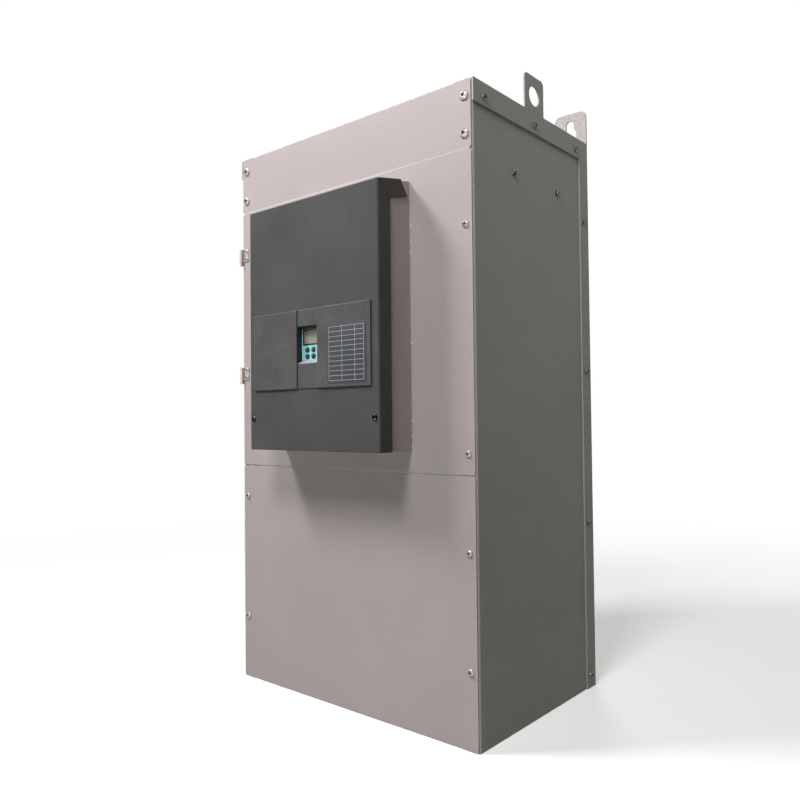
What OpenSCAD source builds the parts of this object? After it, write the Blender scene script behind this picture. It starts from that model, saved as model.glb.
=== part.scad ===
// Variable speed drive in a tall sheet-metal wall cabinet. A hinged door carries a raised control box
// with a dark folded cover and a small keypad; behind it sit the thyristor stack, the fuses and the fans.
// X runs to the right, Y to the back and Z up. The cabinet stands on z = 0, centred on its own box.

/* [Cabinet] */
// Width over the rear frame's side flanges
cabinet_w = 418; // [406:1:440]
// Height of the casing without its lugs
cabinet_h = 757; // [752:1:790]
// Depth from the front panels' faces to the back
cabinet_d = 283; // [280:1:320]
// Thickness of the panel sheet
sheet_t = 1.5; // [1.2:0.1:1.8]
// Thickness of the rear frame and of the lifting brackets
frame_t = 2; // [1.6:0.1:2.5]
// Outside radius of the sheet's bends
bend_r = 3; // [2.6:0.1:4]
// Width of the side panels' return flanges
return_w = 22; // [20:1:25]
// Depth of the rear frame's side flanges
rear_flange = 26; // [20:1:30]

/* [Front panels] */
// Height of the lower cover
lower_h = 306; // [300:1:308]
// Height of the top front plate
top_h = 79.5; // [75:0.5:82]
// Gap between two panels
seam = 1.2; // [1:0.1:2.5]
// How far the panels stop short of the side panels' faces
panel_inset = 1.5; // [1:0.1:2.5]
// Corner radius of the panels
panel_r = 3; // [2:0.5:5]
// Depth of the lips on the top plate and the lower cover
lip_d = 14; // [10:1:18]
// Distance of the panel screws from the side panels' faces
panel_screw_in = 10.5; // [7:0.5:11]
// Height of the lower cover's lower screw on the right
right_screw_low = 88; // [70:1:100]
// Height of the lower cover's upper screw on the right
right_screw_high = 220; // [190:1:250]
// Height of the lower cover's lower screw on the left
left_screw_low = 88; // [70:1:100]
// Height of the lower cover's upper screw on the left
left_screw_high = 262; // [230:1:275]
// Height of the door's lower screw above the door's lower edge
door_screw_low = 24; // [18:0.5:40]
// Distance of the door's upper screw from the door's upper edge
door_screw_down = 85; // [60:0.5:110]
// Distance of the top plate's upper screws from the casing's top
top_screw_high = 18.5; // [14:0.5:20]
// Distance of the top plate's lower screws from the casing's top
top_screw_low = 62; // [50:0.5:64]

/* [Lifting gear] */
// Height of the lifting brackets' strips
strip_h = 27; // [22:1:30]
// Width of a rear lug
lug_w = 50; // [42:1:56]
// Width of a lifting eye
eye_w = 46; // [42:1:56]
// Height of a lifting eye above the casing
eye_h = 46; // [44:1:56]
// Diameter of a lifting eye's hole
eye_bore = 25; // [20:0.5:28]
// Height of that hole's centre above the casing
eye_up = 21; // [19:0.5:28]
// Corner radius of a lifting eye
eye_r = 6; // [3:0.5:9]
// Height of a rear lug above the casing
lug_h = 50; // [48:1:60]
// Corner radius of a rear lug
lug_r = 10; // [4:0.5:12]
// Width of the keyhole's narrow slot
keyhole_slot = 12; // [9:0.5:13]
// Diameter of the keyhole's round end
keyhole_round = 20; // [17:0.5:22]
// Height of the keyhole's round end above the casing
keyhole_up = 19; // [17:0.5:22]
// Distance from there to the top of the narrow slot
keyhole_rise = 20.5; // [18:0.5:24]
// Diameter of the lower wall-fixing holes
wall_hole = 11; // [8:0.5:13]
// Height of the lower wall-fixing holes
wall_hole_z = 40; // [34:1:60]

/* [Control box] */
// Outside width of the box
box_w = 229; // [215:1:230]
// Height of door left above the box
box_head = 19; // [16:0.5:26]
// Distance from the door's face to the dark cover's face
box_d = 59; // [58:1:68]
// Slope of the box's top in degrees
box_slope = 10.5; // [9:0.1:14]
// Height of the box's underside above the door's lower edge
box_lift = 27.5; // [22:0.5:30]
// Depth of the dark cover's side flanges
cover_flange = 21.5; // [18:0.5:24]
// Depth of the dark cover's top flange along the slope
cover_top = 41.5; // [40:0.5:48]
// Gap left between a piece and the one it fits over
fit = 0.3; // [0.3:0.05:0.4]

/* [Fascia and keypad] */
// Width of the fascia band
band_w = 209; // [198:1:210]
// Height of the fascia band
band_h = 98.5; // [92:0.5:102]
// Thickness of the band's two raised parts
band_t = 2.2; // [1.8:0.1:4.4]
// Thickness of the band's sunk middle part
band_mid_t = 1.0; // [0.8:0.1:1.2]
// Offset of the band's middle to the right
band_x = 0; // [-4:0.5:8]
// Height of the band's lower edge above the box's underside
band_up = 76; // [70:0.5:85]
// Width of the keypad's window
window_w = 37.5; // [37:0.5:42]
// Height of the keypad's window
window_h = 46.8; // [46.5:0.1:50]
// Height of the window's lower edge above the band's lower edge
window_up = 30.8; // [24:0.1:34]
// Depth of the keypad's face behind the dark cover's face
keypad_sink = 7; // [6:0.1:9]
// Width of one key
key_w = 7.2; // [6:0.1:7.6]
// Height of one key
key_h = 6; // [5:0.1:6.2]
// Distance between two key columns
key_pitch_x = 10.8; // [10:0.1:11]
// Distance between two key rows
key_pitch_z = 8.2; // [8:0.1:8.6]
// Travel of a key
key_travel = 0.8; // [0.6:0.1:1]

/* [Hinges] */
// Radius of the hinge knuckles
knuckle_r = 2.5; // [2.3:0.1:3]
// Radius of the hinge pins
pin_r = 1.25; // [1.1:0.05:1.3]
// Height of the door's hinge leaves
leaf_h = 18; // [18:1:24]
// Height of the fixed knuckles
fixed_h = 5; // [5:0.5:12]
// Thickness of the hinge leaves
leaf_t = 1.2; // [1:0.1:1.5]
// Height of the lower hinge's joint above the door's lower edge
hinge_low = 124; // [110:1:140]
// Distance of the upper hinge's joint from the door's upper edge
hinge_down = 70.5; // [60:0.5:90]

/* [Fans] */
// Side length of a fan's square frame
fan_w = 172; // [168:1:174]
// Height of a fan's frame
fan_h = 51; // [48:1:54]
// Thickness of a fan's frame where its duct comes closest to the side
fan_wall = 7; // [6:0.5:10]
// Radius of a fan wheel's hub
hub_r = 42; // [38:1:46]
// Gap between the blades' tips and the duct
tip_gap = 2.5; // [2:0.1:4]
// Blades on one fan wheel
blades = 7; // [5:1:9]
// Radius of a fan wheel's shaft
shaft_r = 4; // [3:0.25:5]

/* [Power stack] */
// Depth of the heat sink's fins
fin_d = 62; // [58:1:66]
// Thickness of the heat sink's base
base_t = 18; // [15:1:20]
// Fins on the heat sink
fins = 24; // [16:1:28]
// Distance from the heat sink's top to the fan shelf
sink_gap = 60.5; // [56:0.5:70]
// Height of the heat sink's lower end
sink_z = 262; // [258:1:266]
// Width of a thyristor module
module_w = 60; // [56:1:64]
// Height of a thyristor module
module_h = 124; // [118:1:130]
// Depth of a thyristor module
module_d = 50; // [46:1:52]
// How far the phases stay inside the front opening on each side
phase_margin = 16; // [13:0.5:18]
// Distance between the two rows of modules
row_pitch = 170; // [164:1:174]
// Thickness of the busbars
bar_t = 6; // [5:0.5:8]
// Width of the busbars
bar_w = 30; // [26:1:32]
// Diameter of the terminal holes
terminal_d = 13; // [10.5:0.5:14]
// Width and depth of a line fuse
fuse_w = 52; // [48:1:56]
// Height of a line fuse
fuse_h = 74; // [70:1:80]
// Height of the line fuses' lower ends
fuse_z = 166; // [162:1:170]

/* [Hidden] */
$fn = 48;
half = cabinet_w / 2;
side_x = half - frame_t;
inner_x = side_x - sheet_t;
front_y = (box_d + band_t - cabinet_d) / 2;
rear_y = front_y + cabinet_d;
rear_in = rear_y - frame_t;
mid_y = (front_y + rear_y) / 2;
eye_y = front_y + 0.48 * cabinet_d;
flange_y = front_y + sheet_t;
panel_w = 2 * (side_x - panel_inset);
screw_x = side_x - panel_screw_in;
door_z = lower_h + seam;
top_z = cabinet_h - top_h;
door_h = top_z - seam - door_z;
strip_y0 = front_y + 0.5;
strip_y1 = rear_y - rear_flange - fit;
lug_x = half - 1 - lug_w / 2;
mouth_x = side_x - return_w;
phase_pitch = 2 * (mouth_x - phase_margin) / 3;
roof_z = cabinet_h - 2;
roof_y0 = front_y + 2 * sheet_t + bend_r;
roof_y1 = rear_in - sheet_t - bend_r;
shelf_z = roof_z - sheet_t - fan_h;
shelf_flange = 46;
roof_flange = 26;
duct_r = fan_w / 2 - fan_wall;
sink_h = shelf_z - sink_gap - sink_z;
fan_x = fan_w / 2 + 2;
box_z = door_z + box_lift;
box_h = door_h - box_lift - box_head;
cover_y = front_y - box_d;
cover_z = box_z - fit - sheet_t;
cover_hw = box_w / 2 + fit + sheet_t;
tan_top = tan(box_slope);
box_top = box_z + box_h;
cover_top_z = box_top + (fit + sheet_t) / cos(box_slope) - tan_top * box_d;
band_z = box_z + band_up;
window_z = band_z + window_up;
window_x = -2.6;
keypad_y = cover_y + keypad_sink;
key_x = 0.1;
key_z = window_z + 13.4;
hinge_y = front_y - knuckle_r - fit;
hinge_up = [hinge_low, door_h - hinge_down];
base_y = rear_in - fin_d - 2;
sink_y = base_y - base_t;
pad_y = sink_y - module_d - 3;
row_z = sink_z + sink_h / 2;
plus_y = pad_y - bar_t - 18;
minus_y = plus_y - bar_t - 18;
carrier_y = minus_y - bar_t - 24;
carrier_z = door_z + 20;
carrier_flange = 24;
fuse_y = pad_y - bar_t / 2 - 10;
post_y = sink_y - 18;
plus_x = mouth_x - 6;
minus_x = mouth_x - 54;
terminal_z = 60;
terminal_end = terminal_z - 20;
rail_z = 105;
pad = 20;
pad_step = 36;
collar_t = 1.5;
sill = 4;
ledge = 5;
lcd_w = 30;
lcd_h = 17.4;
lcd_z = window_z + window_h - sill - 0.6 - lcd_h;
keypad_w = window_w - 2 * fit;
keypad_h = window_h - sill - 0.9 - 2 * fit;
keypad_d = 8;
pcb_t = 1.6;
board_margin = 14;
carrier_h = sink_z + sink_h - carrier_z;
board_w = 2 * inner_x - 84;
board_h = (carrier_h - 44) / 2;
board_y = carrier_y - 10;
lower_board_z = carrier_z + board_margin;
upper_board_z = lower_board_z + board_h + board_margin;
ctrl_y = front_y - 16;
ctrl_z = box_z + 24;
ctrl_w = box_w - 30;
ctrl_h = box_h - 74;
leaf_w = 14.2;
leaf_screw_x = -side_x + leaf_w - 3.8;
room = 0.25;
// Screws as [head radius, head height, shank radius, shank length]
plate_screw = [5.8, 3.8, 3, 9];
panel_screw = [4.2, 2.6, 2, 8];
side_screw = [4, 2.4, 2, 8];
cover_screw = [3.8, 2.4, 2, 8];
leaf_screw = [2.6, 1.6, 1.4, leaf_t + sheet_t];
// Screw places on the right side as [y, z]; the left side mirrors them
strip_screws = [for (y = [front_y + 22, eye_y, strip_y1 - 10]) [y, cabinet_h - 0.6 * strip_h]];
rear_screw_low = 18;
rear_screw_down = 113;
rear_screw_step = (cabinet_h - rear_screw_low - rear_screw_down) / 3;
rear_screws = [for (i = [0:3]) [rear_y - 0.6 * rear_flange, rear_screw_low + i * rear_screw_step]];
shelf_screws = [for (share = [0.311, 0.69]) [front_y + share * cabinet_d, shelf_z - 0.74 * shelf_flange]];
// Parts on the circuit boards as [width, depth, height], and round ones as [radius, length]
pulse_transformer = [28, 22, 30];
board_plug = [48, 10, 9];
driver_chip = [34, 3, 34];
relay = [28, 20, 38];
supply_transformer = [64, 32, 54];
terminal_strip = [board_w - 24, 16, 16];
board_capacitor = [9, 24];
power_resistor = [5.2, 30];
processor = [36, 4, 36];
box_plug = [44, 12, 9];
box_capacitor = [8, 20];

// Shared shapes

// Waste of a rounded corner whose body lies in +x, +y
module corner_cut(r) {
    difference() {
        translate([-1, -1]) square(r + 1);
        translate([r, r]) circle(r);
    }
}

// Flat plate outline on y = 0, centred on x, with its top corners and perhaps its lower ones rounded
module plate2(w, h, r, low = true) {
    difference() {
        translate([-w / 2, 0]) square([w, h]);
        for (s = [0, 1]) mirror([s, 0]) {
            translate([-w / 2, h]) mirror([0, 1]) corner_cut(r);
            if (low) translate([-w / 2, 0]) corner_cut(r);
        }
    }
}

// Filled block on y = 0 with its two lower corners rounded
module tub2(w, d, r) {
    difference() {
        translate([-w / 2, 0]) square([w, d]);
        for (s = [0, 1]) mirror([s, 0]) translate([-w / 2, 0]) corner_cut(r);
    }
}

// Folded channel section: its web on y = 0, its flanges towards +y
module channel2(w, d, t, r) {
    difference() {
        tub2(w, d, r);
        translate([0, t]) tub2(w - 2 * t, d, r - t);
    }
}

// Stands a drawing in the x-z plane and thickens it from y to y + t
module upright(y, t) {
    translate([0, y + t, 0]) rotate([90, 0, 0]) linear_extrude(t) children();
}

// Stands a drawing of [y, z] in the side plane and thickens it from x to x + t
module sideways(x, t) {
    translate([x, 0, 0]) rotate([90, 0, 90]) linear_extrude(t) children();
}

// Screw along +z with its seat at z = 0: domed head, shank and a cross or hexagon recess
module screw(size, hexagon = false) {
    head_r = size[0];
    head_h = size[1];
    dome = head_r * 1.35;
    difference() {
        union() {
            intersection() {
                cylinder(h = head_h, r = head_r);
                translate([0, 0, head_h - dome]) sphere(dome);
            }
            translate([0, 0, -size[3]]) cylinder(h = size[3] + 0.4, r = size[2]);
        }
        if (hexagon) translate([0, 0, head_h - 2]) cylinder(h = 3, r = head_r * 0.42, $fn = 6);
        else for (a = [0, 90]) rotate([0, 0, a]) translate([-head_r / 2, -0.45, head_h - 1.2])
            cube([head_r, 0.9, 2]);
    }
}

// Drills the side sheets at [y, z] places for one kind of screw
module side_drill(s, places, size = side_screw) {
    for (p = places) translate([s * half, p[0], p[1]]) rotate([0, 90, 0])
        cylinder(h = 24, r = size[2] + room, center = true);
}

// Drills the front sheets at [x, z] places for one kind of screw
module front_drill(places, size, more = 0) {
    for (p = places) translate([p[0], front_y, p[1]]) rotate([90, 0, 0])
        cylinder(h = 16, r = size[2] + room + more, center = true);
}

// Those of the places that lie on one side
function on_side(s, places) = [for (p = places) if (p[0] * s > 0) p];

top_places = [for (s = [-1, 1], d = [top_screw_high, top_screw_low]) [s * screw_x, cabinet_h - d]];
lower_right = [for (z = [right_screw_low, right_screw_high]) [screw_x, z]];
lower_left = [for (z = [left_screw_low, left_screw_high]) [-screw_x, z]];
lower_places = concat(lower_right, lower_left);
door_places = [for (z = [door_screw_low, door_h - door_screw_down]) [screw_x, door_z + z]];
cover_places = [for (s = [-1, 1]) [s * (cover_hw - 7.3), cover_z + 41]];
leaf_places = [for (z = hinge_up, d = [-5.5, 5.5]) [leaf_screw_x, door_z + z + leaf_h / 2 + d]];

// Casing

// Back sheet with folded side flanges, two keyhole lugs above it and two plain holes below
module rear_frame() {
    color("#b9b3b0") difference() {
        union() {
            translate([0, rear_y, 0]) rotate([0, 0, 180])
                linear_extrude(cabinet_h) channel2(cabinet_w, rear_flange, frame_t, bend_r);
            for (s = [-1, 1]) translate([s * lug_x, 0, cabinet_h - 6])
                upright(rear_in, frame_t) plate2(lug_w, lug_h + 6, lug_r, false);
        }
        for (s = [-1, 1]) translate([s * lug_x, 0, cabinet_h]) {
            upright(rear_in - 1, frame_t + 2) {
                translate([0, keyhole_up]) circle(keyhole_round / 2);
                translate([-keyhole_slot / 2, keyhole_up])
                    square([keyhole_slot, keyhole_rise - keyhole_slot / 2]);
                translate([0, keyhole_up + keyhole_rise - keyhole_slot / 2]) circle(keyhole_slot / 2);
            }
            translate([0, rear_y, wall_hole_z - cabinet_h]) rotate([90, 0, 0])
                cylinder(h = 20, r = wall_hole / 2, center = true);
        }
        for (s = [-1, 1]) side_drill(s, rear_screws);
    }
}

// Side panel: one sheet folded in at the front and at the back
module side_panel(s) {
    len = rear_in - flange_y;
    color("#b9b3b0") difference() {
        translate([s * side_x, flange_y + len / 2, 0]) rotate([0, 0, s * 90])
            linear_extrude(cabinet_h) channel2(len, return_w, sheet_t, bend_r);
        side_drill(s, concat(strip_screws, rear_screws, shelf_screws));
        front_drill(on_side(s, top_places), plate_screw);
        front_drill(on_side(s, lower_places), panel_screw);
        front_drill(on_side(s, door_places), panel_screw, 0.6);
    }
}
module side_panel_right() { side_panel(1); }
module side_panel_left() { side_panel(-1); }

// Flat bracket along the top of one side, with a lifting eye at mid depth
module lifting_bracket(s) {
    color("#b9b3b0") difference() {
        sideways(s > 0 ? side_x : -half, frame_t) difference() {
            union() {
                translate([strip_y0, cabinet_h - strip_h]) square([strip_y1 - strip_y0, strip_h]);
                translate([eye_y, cabinet_h - 5]) plate2(eye_w, eye_h + 5, eye_r, false);
            }
            translate([eye_y, cabinet_h + eye_up]) circle(eye_bore / 2);
        }
        side_drill(s, strip_screws);
    }
}
module lifting_bracket_right() { lifting_bracket(1); }
module lifting_bracket_left() { lifting_bracket(-1); }

// Front sheet with a folded lip at its upper or its lower edge
module lipped_sheet(z, h, upper) {
    lip_w = 2 * mouth_x - 2;
    difference() {
        union() {
            translate([0, 0, z]) upright(front_y, sheet_t) plate2(panel_w, h, panel_r);
            translate([-lip_w / 2, front_y, upper ? z + h - sheet_t : z]) cube([lip_w, lip_d, sheet_t]);
        }
        sideways(-lip_w / 2, lip_w) translate([front_y, upper ? z + h : z])
            mirror([0, upper ? 1 : 0]) corner_cut(sheet_t);
    }
}

// Narrow plate above the door, held by four large button-head screws
module top_front_plate() {
    color("#b9b3b0") difference() {
        lipped_sheet(top_z, top_h, true);
        front_drill(top_places, plate_screw);
    }
}

// Cover over the terminals, below the door
module lower_cover() {
    color("#b9b3b0") difference() {
        lipped_sheet(0, lower_h, false);
        front_drill(lower_places, panel_screw);
    }
}

// Bottom sheet with the cable entry in front and slots for the cooling air behind
module bottom_plate() {
    y0 = front_y + lip_d + 2;
    y1 = rear_in - sheet_t - bend_r;
    slots = 9;
    slot_w = 1.4 * mouth_x / slots;
    pitch = slot_w * 1.35;
    color("#aaa8a3") difference() {
        translate([0, y1, 0]) rotate([90, 0, 0])
            linear_extrude(y1 - y0) channel2(2 * inner_x, roof_flange, sheet_t, bend_r);
        translate([-mouth_x + 8, y0 + 12, -1]) cube([2 * mouth_x - 16, post_y - y0 - 20, 8]);
        for (i = [0:slots - 1])
            translate([(i - (slots - 1) / 2) * pitch - slot_w / 2, sink_y + 8, -1])
                cube([slot_w, rear_in - sink_y - 30, 8]);
        for (s = [-1, 1]) side_drill(s, rear_screws);
    }
}

// Roof sheet with an outlet above each fan
module roof_plate() {
    color("#b9b3b0") difference() {
        translate([0, roof_y0, roof_z]) rotate([-90, 0, 0])
            linear_extrude(roof_y1 - roof_y0) channel2(2 * inner_x, roof_flange, sheet_t, bend_r);
        for (s = [-1, 1]) translate([s * fan_x, mid_y, roof_z - 6]) cylinder(h = 12, r = duct_r);
        for (s = [-1, 1]) side_drill(s, strip_screws);
    }
}

// Two cross rails behind the panels' seams
module front_rails() {
    w = 2 * (inner_x - 4);
    color("#aaa8a3") for (z = [door_z - seam / 2, top_z - seam / 2])
        translate([0, flange_y + sheet_t, z]) rotate([90, 0, 90])
            translate([0, 0, -w / 2]) linear_extrude(w) rotate([0, 0, -90]) channel2(22, 10, sheet_t, bend_r);
}

// Shelf under the fans: a folded channel with a round inlet for each
module fan_shelf() {
    color("#aaa8a3") difference() {
        translate([0, roof_y0, shelf_z]) rotate([-90, 0, 0])
            linear_extrude(roof_y1 - roof_y0) channel2(2 * inner_x, shelf_flange, sheet_t, bend_r);
        for (s = [-1, 1]) translate([s * fan_x, mid_y, shelf_z - 6]) cylinder(h = 12, r = duct_r);
        for (s = [-1, 1]) side_drill(s, shelf_screws);
    }
}

// Flat finger guards of rings and spokes on the roof
module fan_guards() {
    step = duct_r / 6;
    color("#3a3c3e") for (s = [-1, 1]) translate([s * fan_x, mid_y, roof_z]) linear_extrude(2)
        difference() {
            circle(duct_r + 4);
            difference() {
                union() {
                    for (i = [1:5]) difference() {
                        circle((i + 1) * step - 2.4);
                        circle(i * step);
                    }
                }
                for (a = [45, 135]) rotate(a) square([2 * duct_r, 5], center = true);
            }
        }
}

// Square fan frame: a round duct with four struts that carry the motor's seat
module fan_housing(s) {
    color("#26282a") translate([s * fan_x, mid_y, shelf_z]) difference() {
        union() {
            linear_extrude(fan_h) difference() {
                translate([0, -fan_w / 2]) plate2(fan_w, fan_w, 9);
                circle(duct_r);
            }
            for (a = [20:90:290]) rotate([0, 0, a]) translate([hub_r - 4, -4, 0])
                cube([duct_r - hub_r + 6, 8, 10]);
            cylinder(h = 14, r = hub_r);
        }
        translate([0, 0, 2]) cylinder(h = 20, r = shaft_r + 0.05);
        for (x = [-1, 1], y = [-1, 1]) translate([x * (fan_w / 2 - 9), y * (fan_w / 2 - 9), -1])
            cylinder(h = fan_h + 2, r = 2.4);
    }
}
module fan_housing_left() { fan_housing(-1); }
module fan_housing_right() { fan_housing(1); }

// Fan wheel: hub, shaft and curved blades set at a pitch
module fan_wheel(s) {
    tip = duct_r - tip_gap;
    curve = 46;
    color("#323437") translate([s * fan_x, mid_y, shelf_z]) {
        translate([0, 0, 3]) cylinder(h = 15, r = shaft_r);
        difference() {
            translate([0, 0, 14.5]) cylinder(h = fan_h - 18.5, r = hub_r);
            translate([0, 0, fan_h - 8]) cylinder(h = 6, r = hub_r - 6);
        }
        intersection() {
            translate([0, 0, 16]) cylinder(h = fan_h - 21, r = tip);
            for (i = [0:blades - 1]) rotate([0, 0, i * 360 / blades])
                translate([hub_r - 3, 0, fan_h / 2 + 2]) rotate([90, 0, 90]) linear_extrude(tip)
                    intersection() {
                        translate([-24, 34]) difference() {
                            circle(curve);
                            circle(curve - 2.4);
                        }
                        square([54, 40], center = true);
                    }
        }
    }
}
module fan_wheel_left() { fan_wheel(-1); }
module fan_wheel_right() { fan_wheel(1); }

// Fasteners of the casing

module top_plate_screws() {
    color("#c9ccd0") for (p = top_places) translate([p[0], front_y, p[1]]) rotate([90, 0, 0])
        screw(plate_screw, true);
}

module lower_cover_screws() {
    color("#d2d4d6") for (p = lower_places) translate([p[0], front_y, p[1]]) rotate([90, 0, 0])
        screw(panel_screw);
}

module side_screws() {
    color("#d2d4d6") for (s = [-1, 1]) {
        for (p = concat(strip_screws, rear_screws)) translate([s * half, p[0], p[1]])
            rotate([0, s * 90, 0]) screw(side_screw);
        for (p = shelf_screws) translate([s * side_x, p[0], p[1]]) rotate([0, s * 90, 0])
            screw(side_screw);
    }
}

// Power stack

// Extruded heat sink: a thick base in front and upright fins behind it
module heat_sink() {
    w = 2 * (mouth_x - 4);
    span = w - 56;
    fin_t = 3;
    color("#c3c6c8") translate([0, base_y, sink_z]) linear_extrude(sink_h) {
        translate([-w / 2, -base_t]) square([w, base_t]);
        for (i = [0:fins - 1]) translate([-span / 2 + i * span / (fins - 1) - fin_t / 2, -1])
            square([fin_t, fin_d + 1]);
    }
}

// Upright channels that hold the heat sink off the back sheet
module heat_sink_rails() {
    color("#aaa8a3") for (s = [-1, 1]) translate([s * (mouth_x - 16), base_y, sink_z])
        linear_extrude(sink_h) channel2(20, fin_d + 2, sheet_t, bend_r);
}

// One double thyristor module with its metal foot and three terminal pads
module thyristor(x, z) {
    translate([x, sink_y, z]) rotate([90, 0, 0]) {
        linear_extrude(5) translate([0, -module_h / 2]) plate2(module_w - 4, module_h, 4);
        translate([0, 0, 4]) linear_extrude(module_d - 14) translate([0, -module_h / 2 + 14])
            plate2(module_w, module_h - 28, 2);
        translate([0, 0, module_d - 12]) linear_extrude(12) translate([0, -module_h / 2 + 10])
            plate2(module_w - 16, module_h - 20, 2);
        for (d = [-1:1]) translate([-pad / 2, d * pad_step - pad / 2, module_d - 1]) cube([pad, pad, 4]);
    }
}
module module_row(z) {
    color("#2b2c2e") for (i = [-1:1]) thyristor(i * phase_pitch, z);
}
module forward_modules() { module_row(row_z + row_pitch / 2); }
module reverse_modules() { module_row(row_z - row_pitch / 2); }

// Foot of a mains bar on the end of a fuse, its lower face at z
module bar_foot(x, z) {
    front = fuse_y - fuse_w / 2 + 6;
    translate([x - bar_w / 2, front, z]) cube([bar_w, pad_y - front, bar_t]);
}

// Mains busbar beside one phase: an upright bar, a tab to each module and a foot on the fuse
module ac_busbar(i) {
    x = (i - 0.5) * phase_pitch;
    low = fuse_z + fuse_h;
    top = row_z + row_pitch / 2 + pad_step + pad / 2;
    color("#b9783f") {
        translate([x - bar_w / 2, pad_y - bar_t, low]) cube([bar_w, bar_t, top - low]);
        for (r = [-1, 1]) translate([x, pad_y - bar_t, row_z + r * row_pitch / 2 + pad_step - pad / 2])
            cube([phase_pitch / 2 + pad / 2, bar_t, pad]);
        bar_foot(x, low);
    }
}
module ac_busbar_1() { ac_busbar(-1); }
module ac_busbar_2() { ac_busbar(0); }
module ac_busbar_3() { ac_busbar(1); }

// Square-bodied line fuses with metal end plates
module line_fuses() {
    color("#d9d4c6") for (i = [-1:1]) translate([(i - 0.5) * phase_pitch, fuse_y, fuse_z]) {
        translate([0, -fuse_w / 2 + 2, 4]) linear_extrude(fuse_h - 8) plate2(fuse_w - 4, fuse_w - 4, 5);
        for (z = [0, fuse_h - 5]) translate([0, -fuse_w / 2, z]) linear_extrude(5) plate2(fuse_w, fuse_w, 5);
    }
}

// Cross hole for a cable lug's bolt
module lug_hole(x, y) {
    translate([x, y, terminal_z]) rotate([90, 0, 0])
        cylinder(h = 4 * bar_t, r = terminal_d / 2, center = true);
}

// Mains terminal below one fuse, with a hole for the cable lug
module ac_terminal(i) {
    x = (i - 0.5) * phase_pitch;
    color("#b9783f") difference() {
        union() {
            translate([x - bar_w / 2, pad_y - bar_t, terminal_end])
                cube([bar_w, bar_t, fuse_z - terminal_end]);
            bar_foot(x, fuse_z - bar_t);
        }
        lug_hole(x, pad_y);
    }
}
module ac_terminal_1() { ac_terminal(-1); }
module ac_terminal_2() { ac_terminal(0); }
module ac_terminal_3() { ac_terminal(1); }

// Direct-current busbar: a row bar for each bridge and a drop to its terminal
module dc_busbar(y, x, upper, lower) {
    left = -phase_pitch - 12;
    row_w = 24;
    color("#b9783f") difference() {
        union() {
            for (z = [upper, lower]) translate([left, y - bar_t, z - row_w / 2])
                cube([x - left, bar_t, row_w]);
            translate([x - bar_w / 2, y - bar_t, terminal_end])
                cube([bar_w, bar_t, upper + row_w / 2 - terminal_end]);
        }
        lug_hole(x, y);
    }
}
module dc_busbar_positive() {
    dc_busbar(plus_y, plus_x, row_z + row_pitch / 2, row_z - row_pitch / 2 - pad_step);
}
module dc_busbar_negative() {
    dc_busbar(minus_y, minus_x, row_z + row_pitch / 2 - pad_step, row_z - row_pitch / 2);
}

// Round copper posts between the modules' pads and the direct-current bars
module busbar_spacers() {
    color("#c08a55") for (i = [-1:1]) translate([i * phase_pitch, pad_y, row_z]) {
        for (z = [row_pitch / 2, -row_pitch / 2 - pad_step]) translate([0, 0, z]) rotate([90, 0, 0])
            cylinder(h = pad_y - plus_y, r = 8);
        for (z = [row_pitch / 2 - pad_step, -row_pitch / 2]) translate([0, 0, z]) rotate([90, 0, 0])
            cylinder(h = pad_y - minus_y, r = 8);
    }
}

// Cross rail for the terminals, with an earth stud welded on at its left end
module terminal_rail() {
    color("#aaa8a3") {
        translate([-inner_x, post_y, rail_z]) rotate([90, 0, 90])
            linear_extrude(2 * inner_x) rotate([0, 0, -90]) channel2(44, 20, frame_t, bend_r);
        translate([-inner_x + 12, post_y + 1, rail_z]) rotate([90, 0, 0]) cylinder(h = 26, r = 4);
    }
}

// Ribbed insulator from the cross rail to a bar's rear face
module insulator(x, y) {
    len = post_y - y;
    ribs = floor(len / 9);
    translate([x, post_y, rail_z]) rotate([90, 0, 0]) {
        cylinder(h = len, r = 11);
        for (i = [1:ribs]) translate([0, 0, i * len / (ribs + 1) - 1.5]) cylinder(h = 3, r = 14);
    }
}
module busbar_insulators() {
    color("#7c2f22") {
        for (i = [-1:1]) insulator((i - 0.5) * phase_pitch, pad_y);
        insulator(plus_x, plus_y);
        insulator(minus_x, minus_y);
    }
}

// Window-type current transformers on the first and the third mains bar
module current_transformers() {
    color("#2f4f78") for (i = [-1, 1])
        translate([(i - 0.5) * phase_pitch, pad_y - bar_t / 2, fuse_z + fuse_h + bar_t + 4])
            linear_extrude(30) difference() {
                translate([0, -25]) plate2(66, 50, 6);
                square([bar_w + 2 * fit, bar_t + 2 * fit], center = true);
            }
}

// Folded plate that holds the electronics in front of the busbars
module board_carrier() {
    color("#aaa8a3") difference() {
        translate([0, carrier_y, carrier_z]) linear_extrude(carrier_h)
            channel2(2 * inner_x, carrier_flange, sheet_t, bend_r);
        for (x = [-1, 1]) translate([x * (inner_x - 24), 0, carrier_z + carrier_h / 2])
            upright(carrier_y - 5, 10) translate([0, -60]) plate2(14, 120, 6);
    }
}

// Circuit board centred on x with its rear face on y and its lower edge at z
module circuit_board(y, z, w, h) {
    translate([-w / 2, y - pcb_t, z]) cube([w, pcb_t, h]);
}

// Block on a board: its middle at x, its lower edge at z, its foot sunk into the board
module block(x, z, size) {
    translate([x - size[0] / 2, -size[1], z]) cube([size[0], size[1], size[2]]);
}

// Round capacitor that stands out from a board
module can(x, z, size) {
    translate([x, 0, z]) rotate([90, 0, 0]) cylinder(h = size[1], r = size[0]);
}

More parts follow.
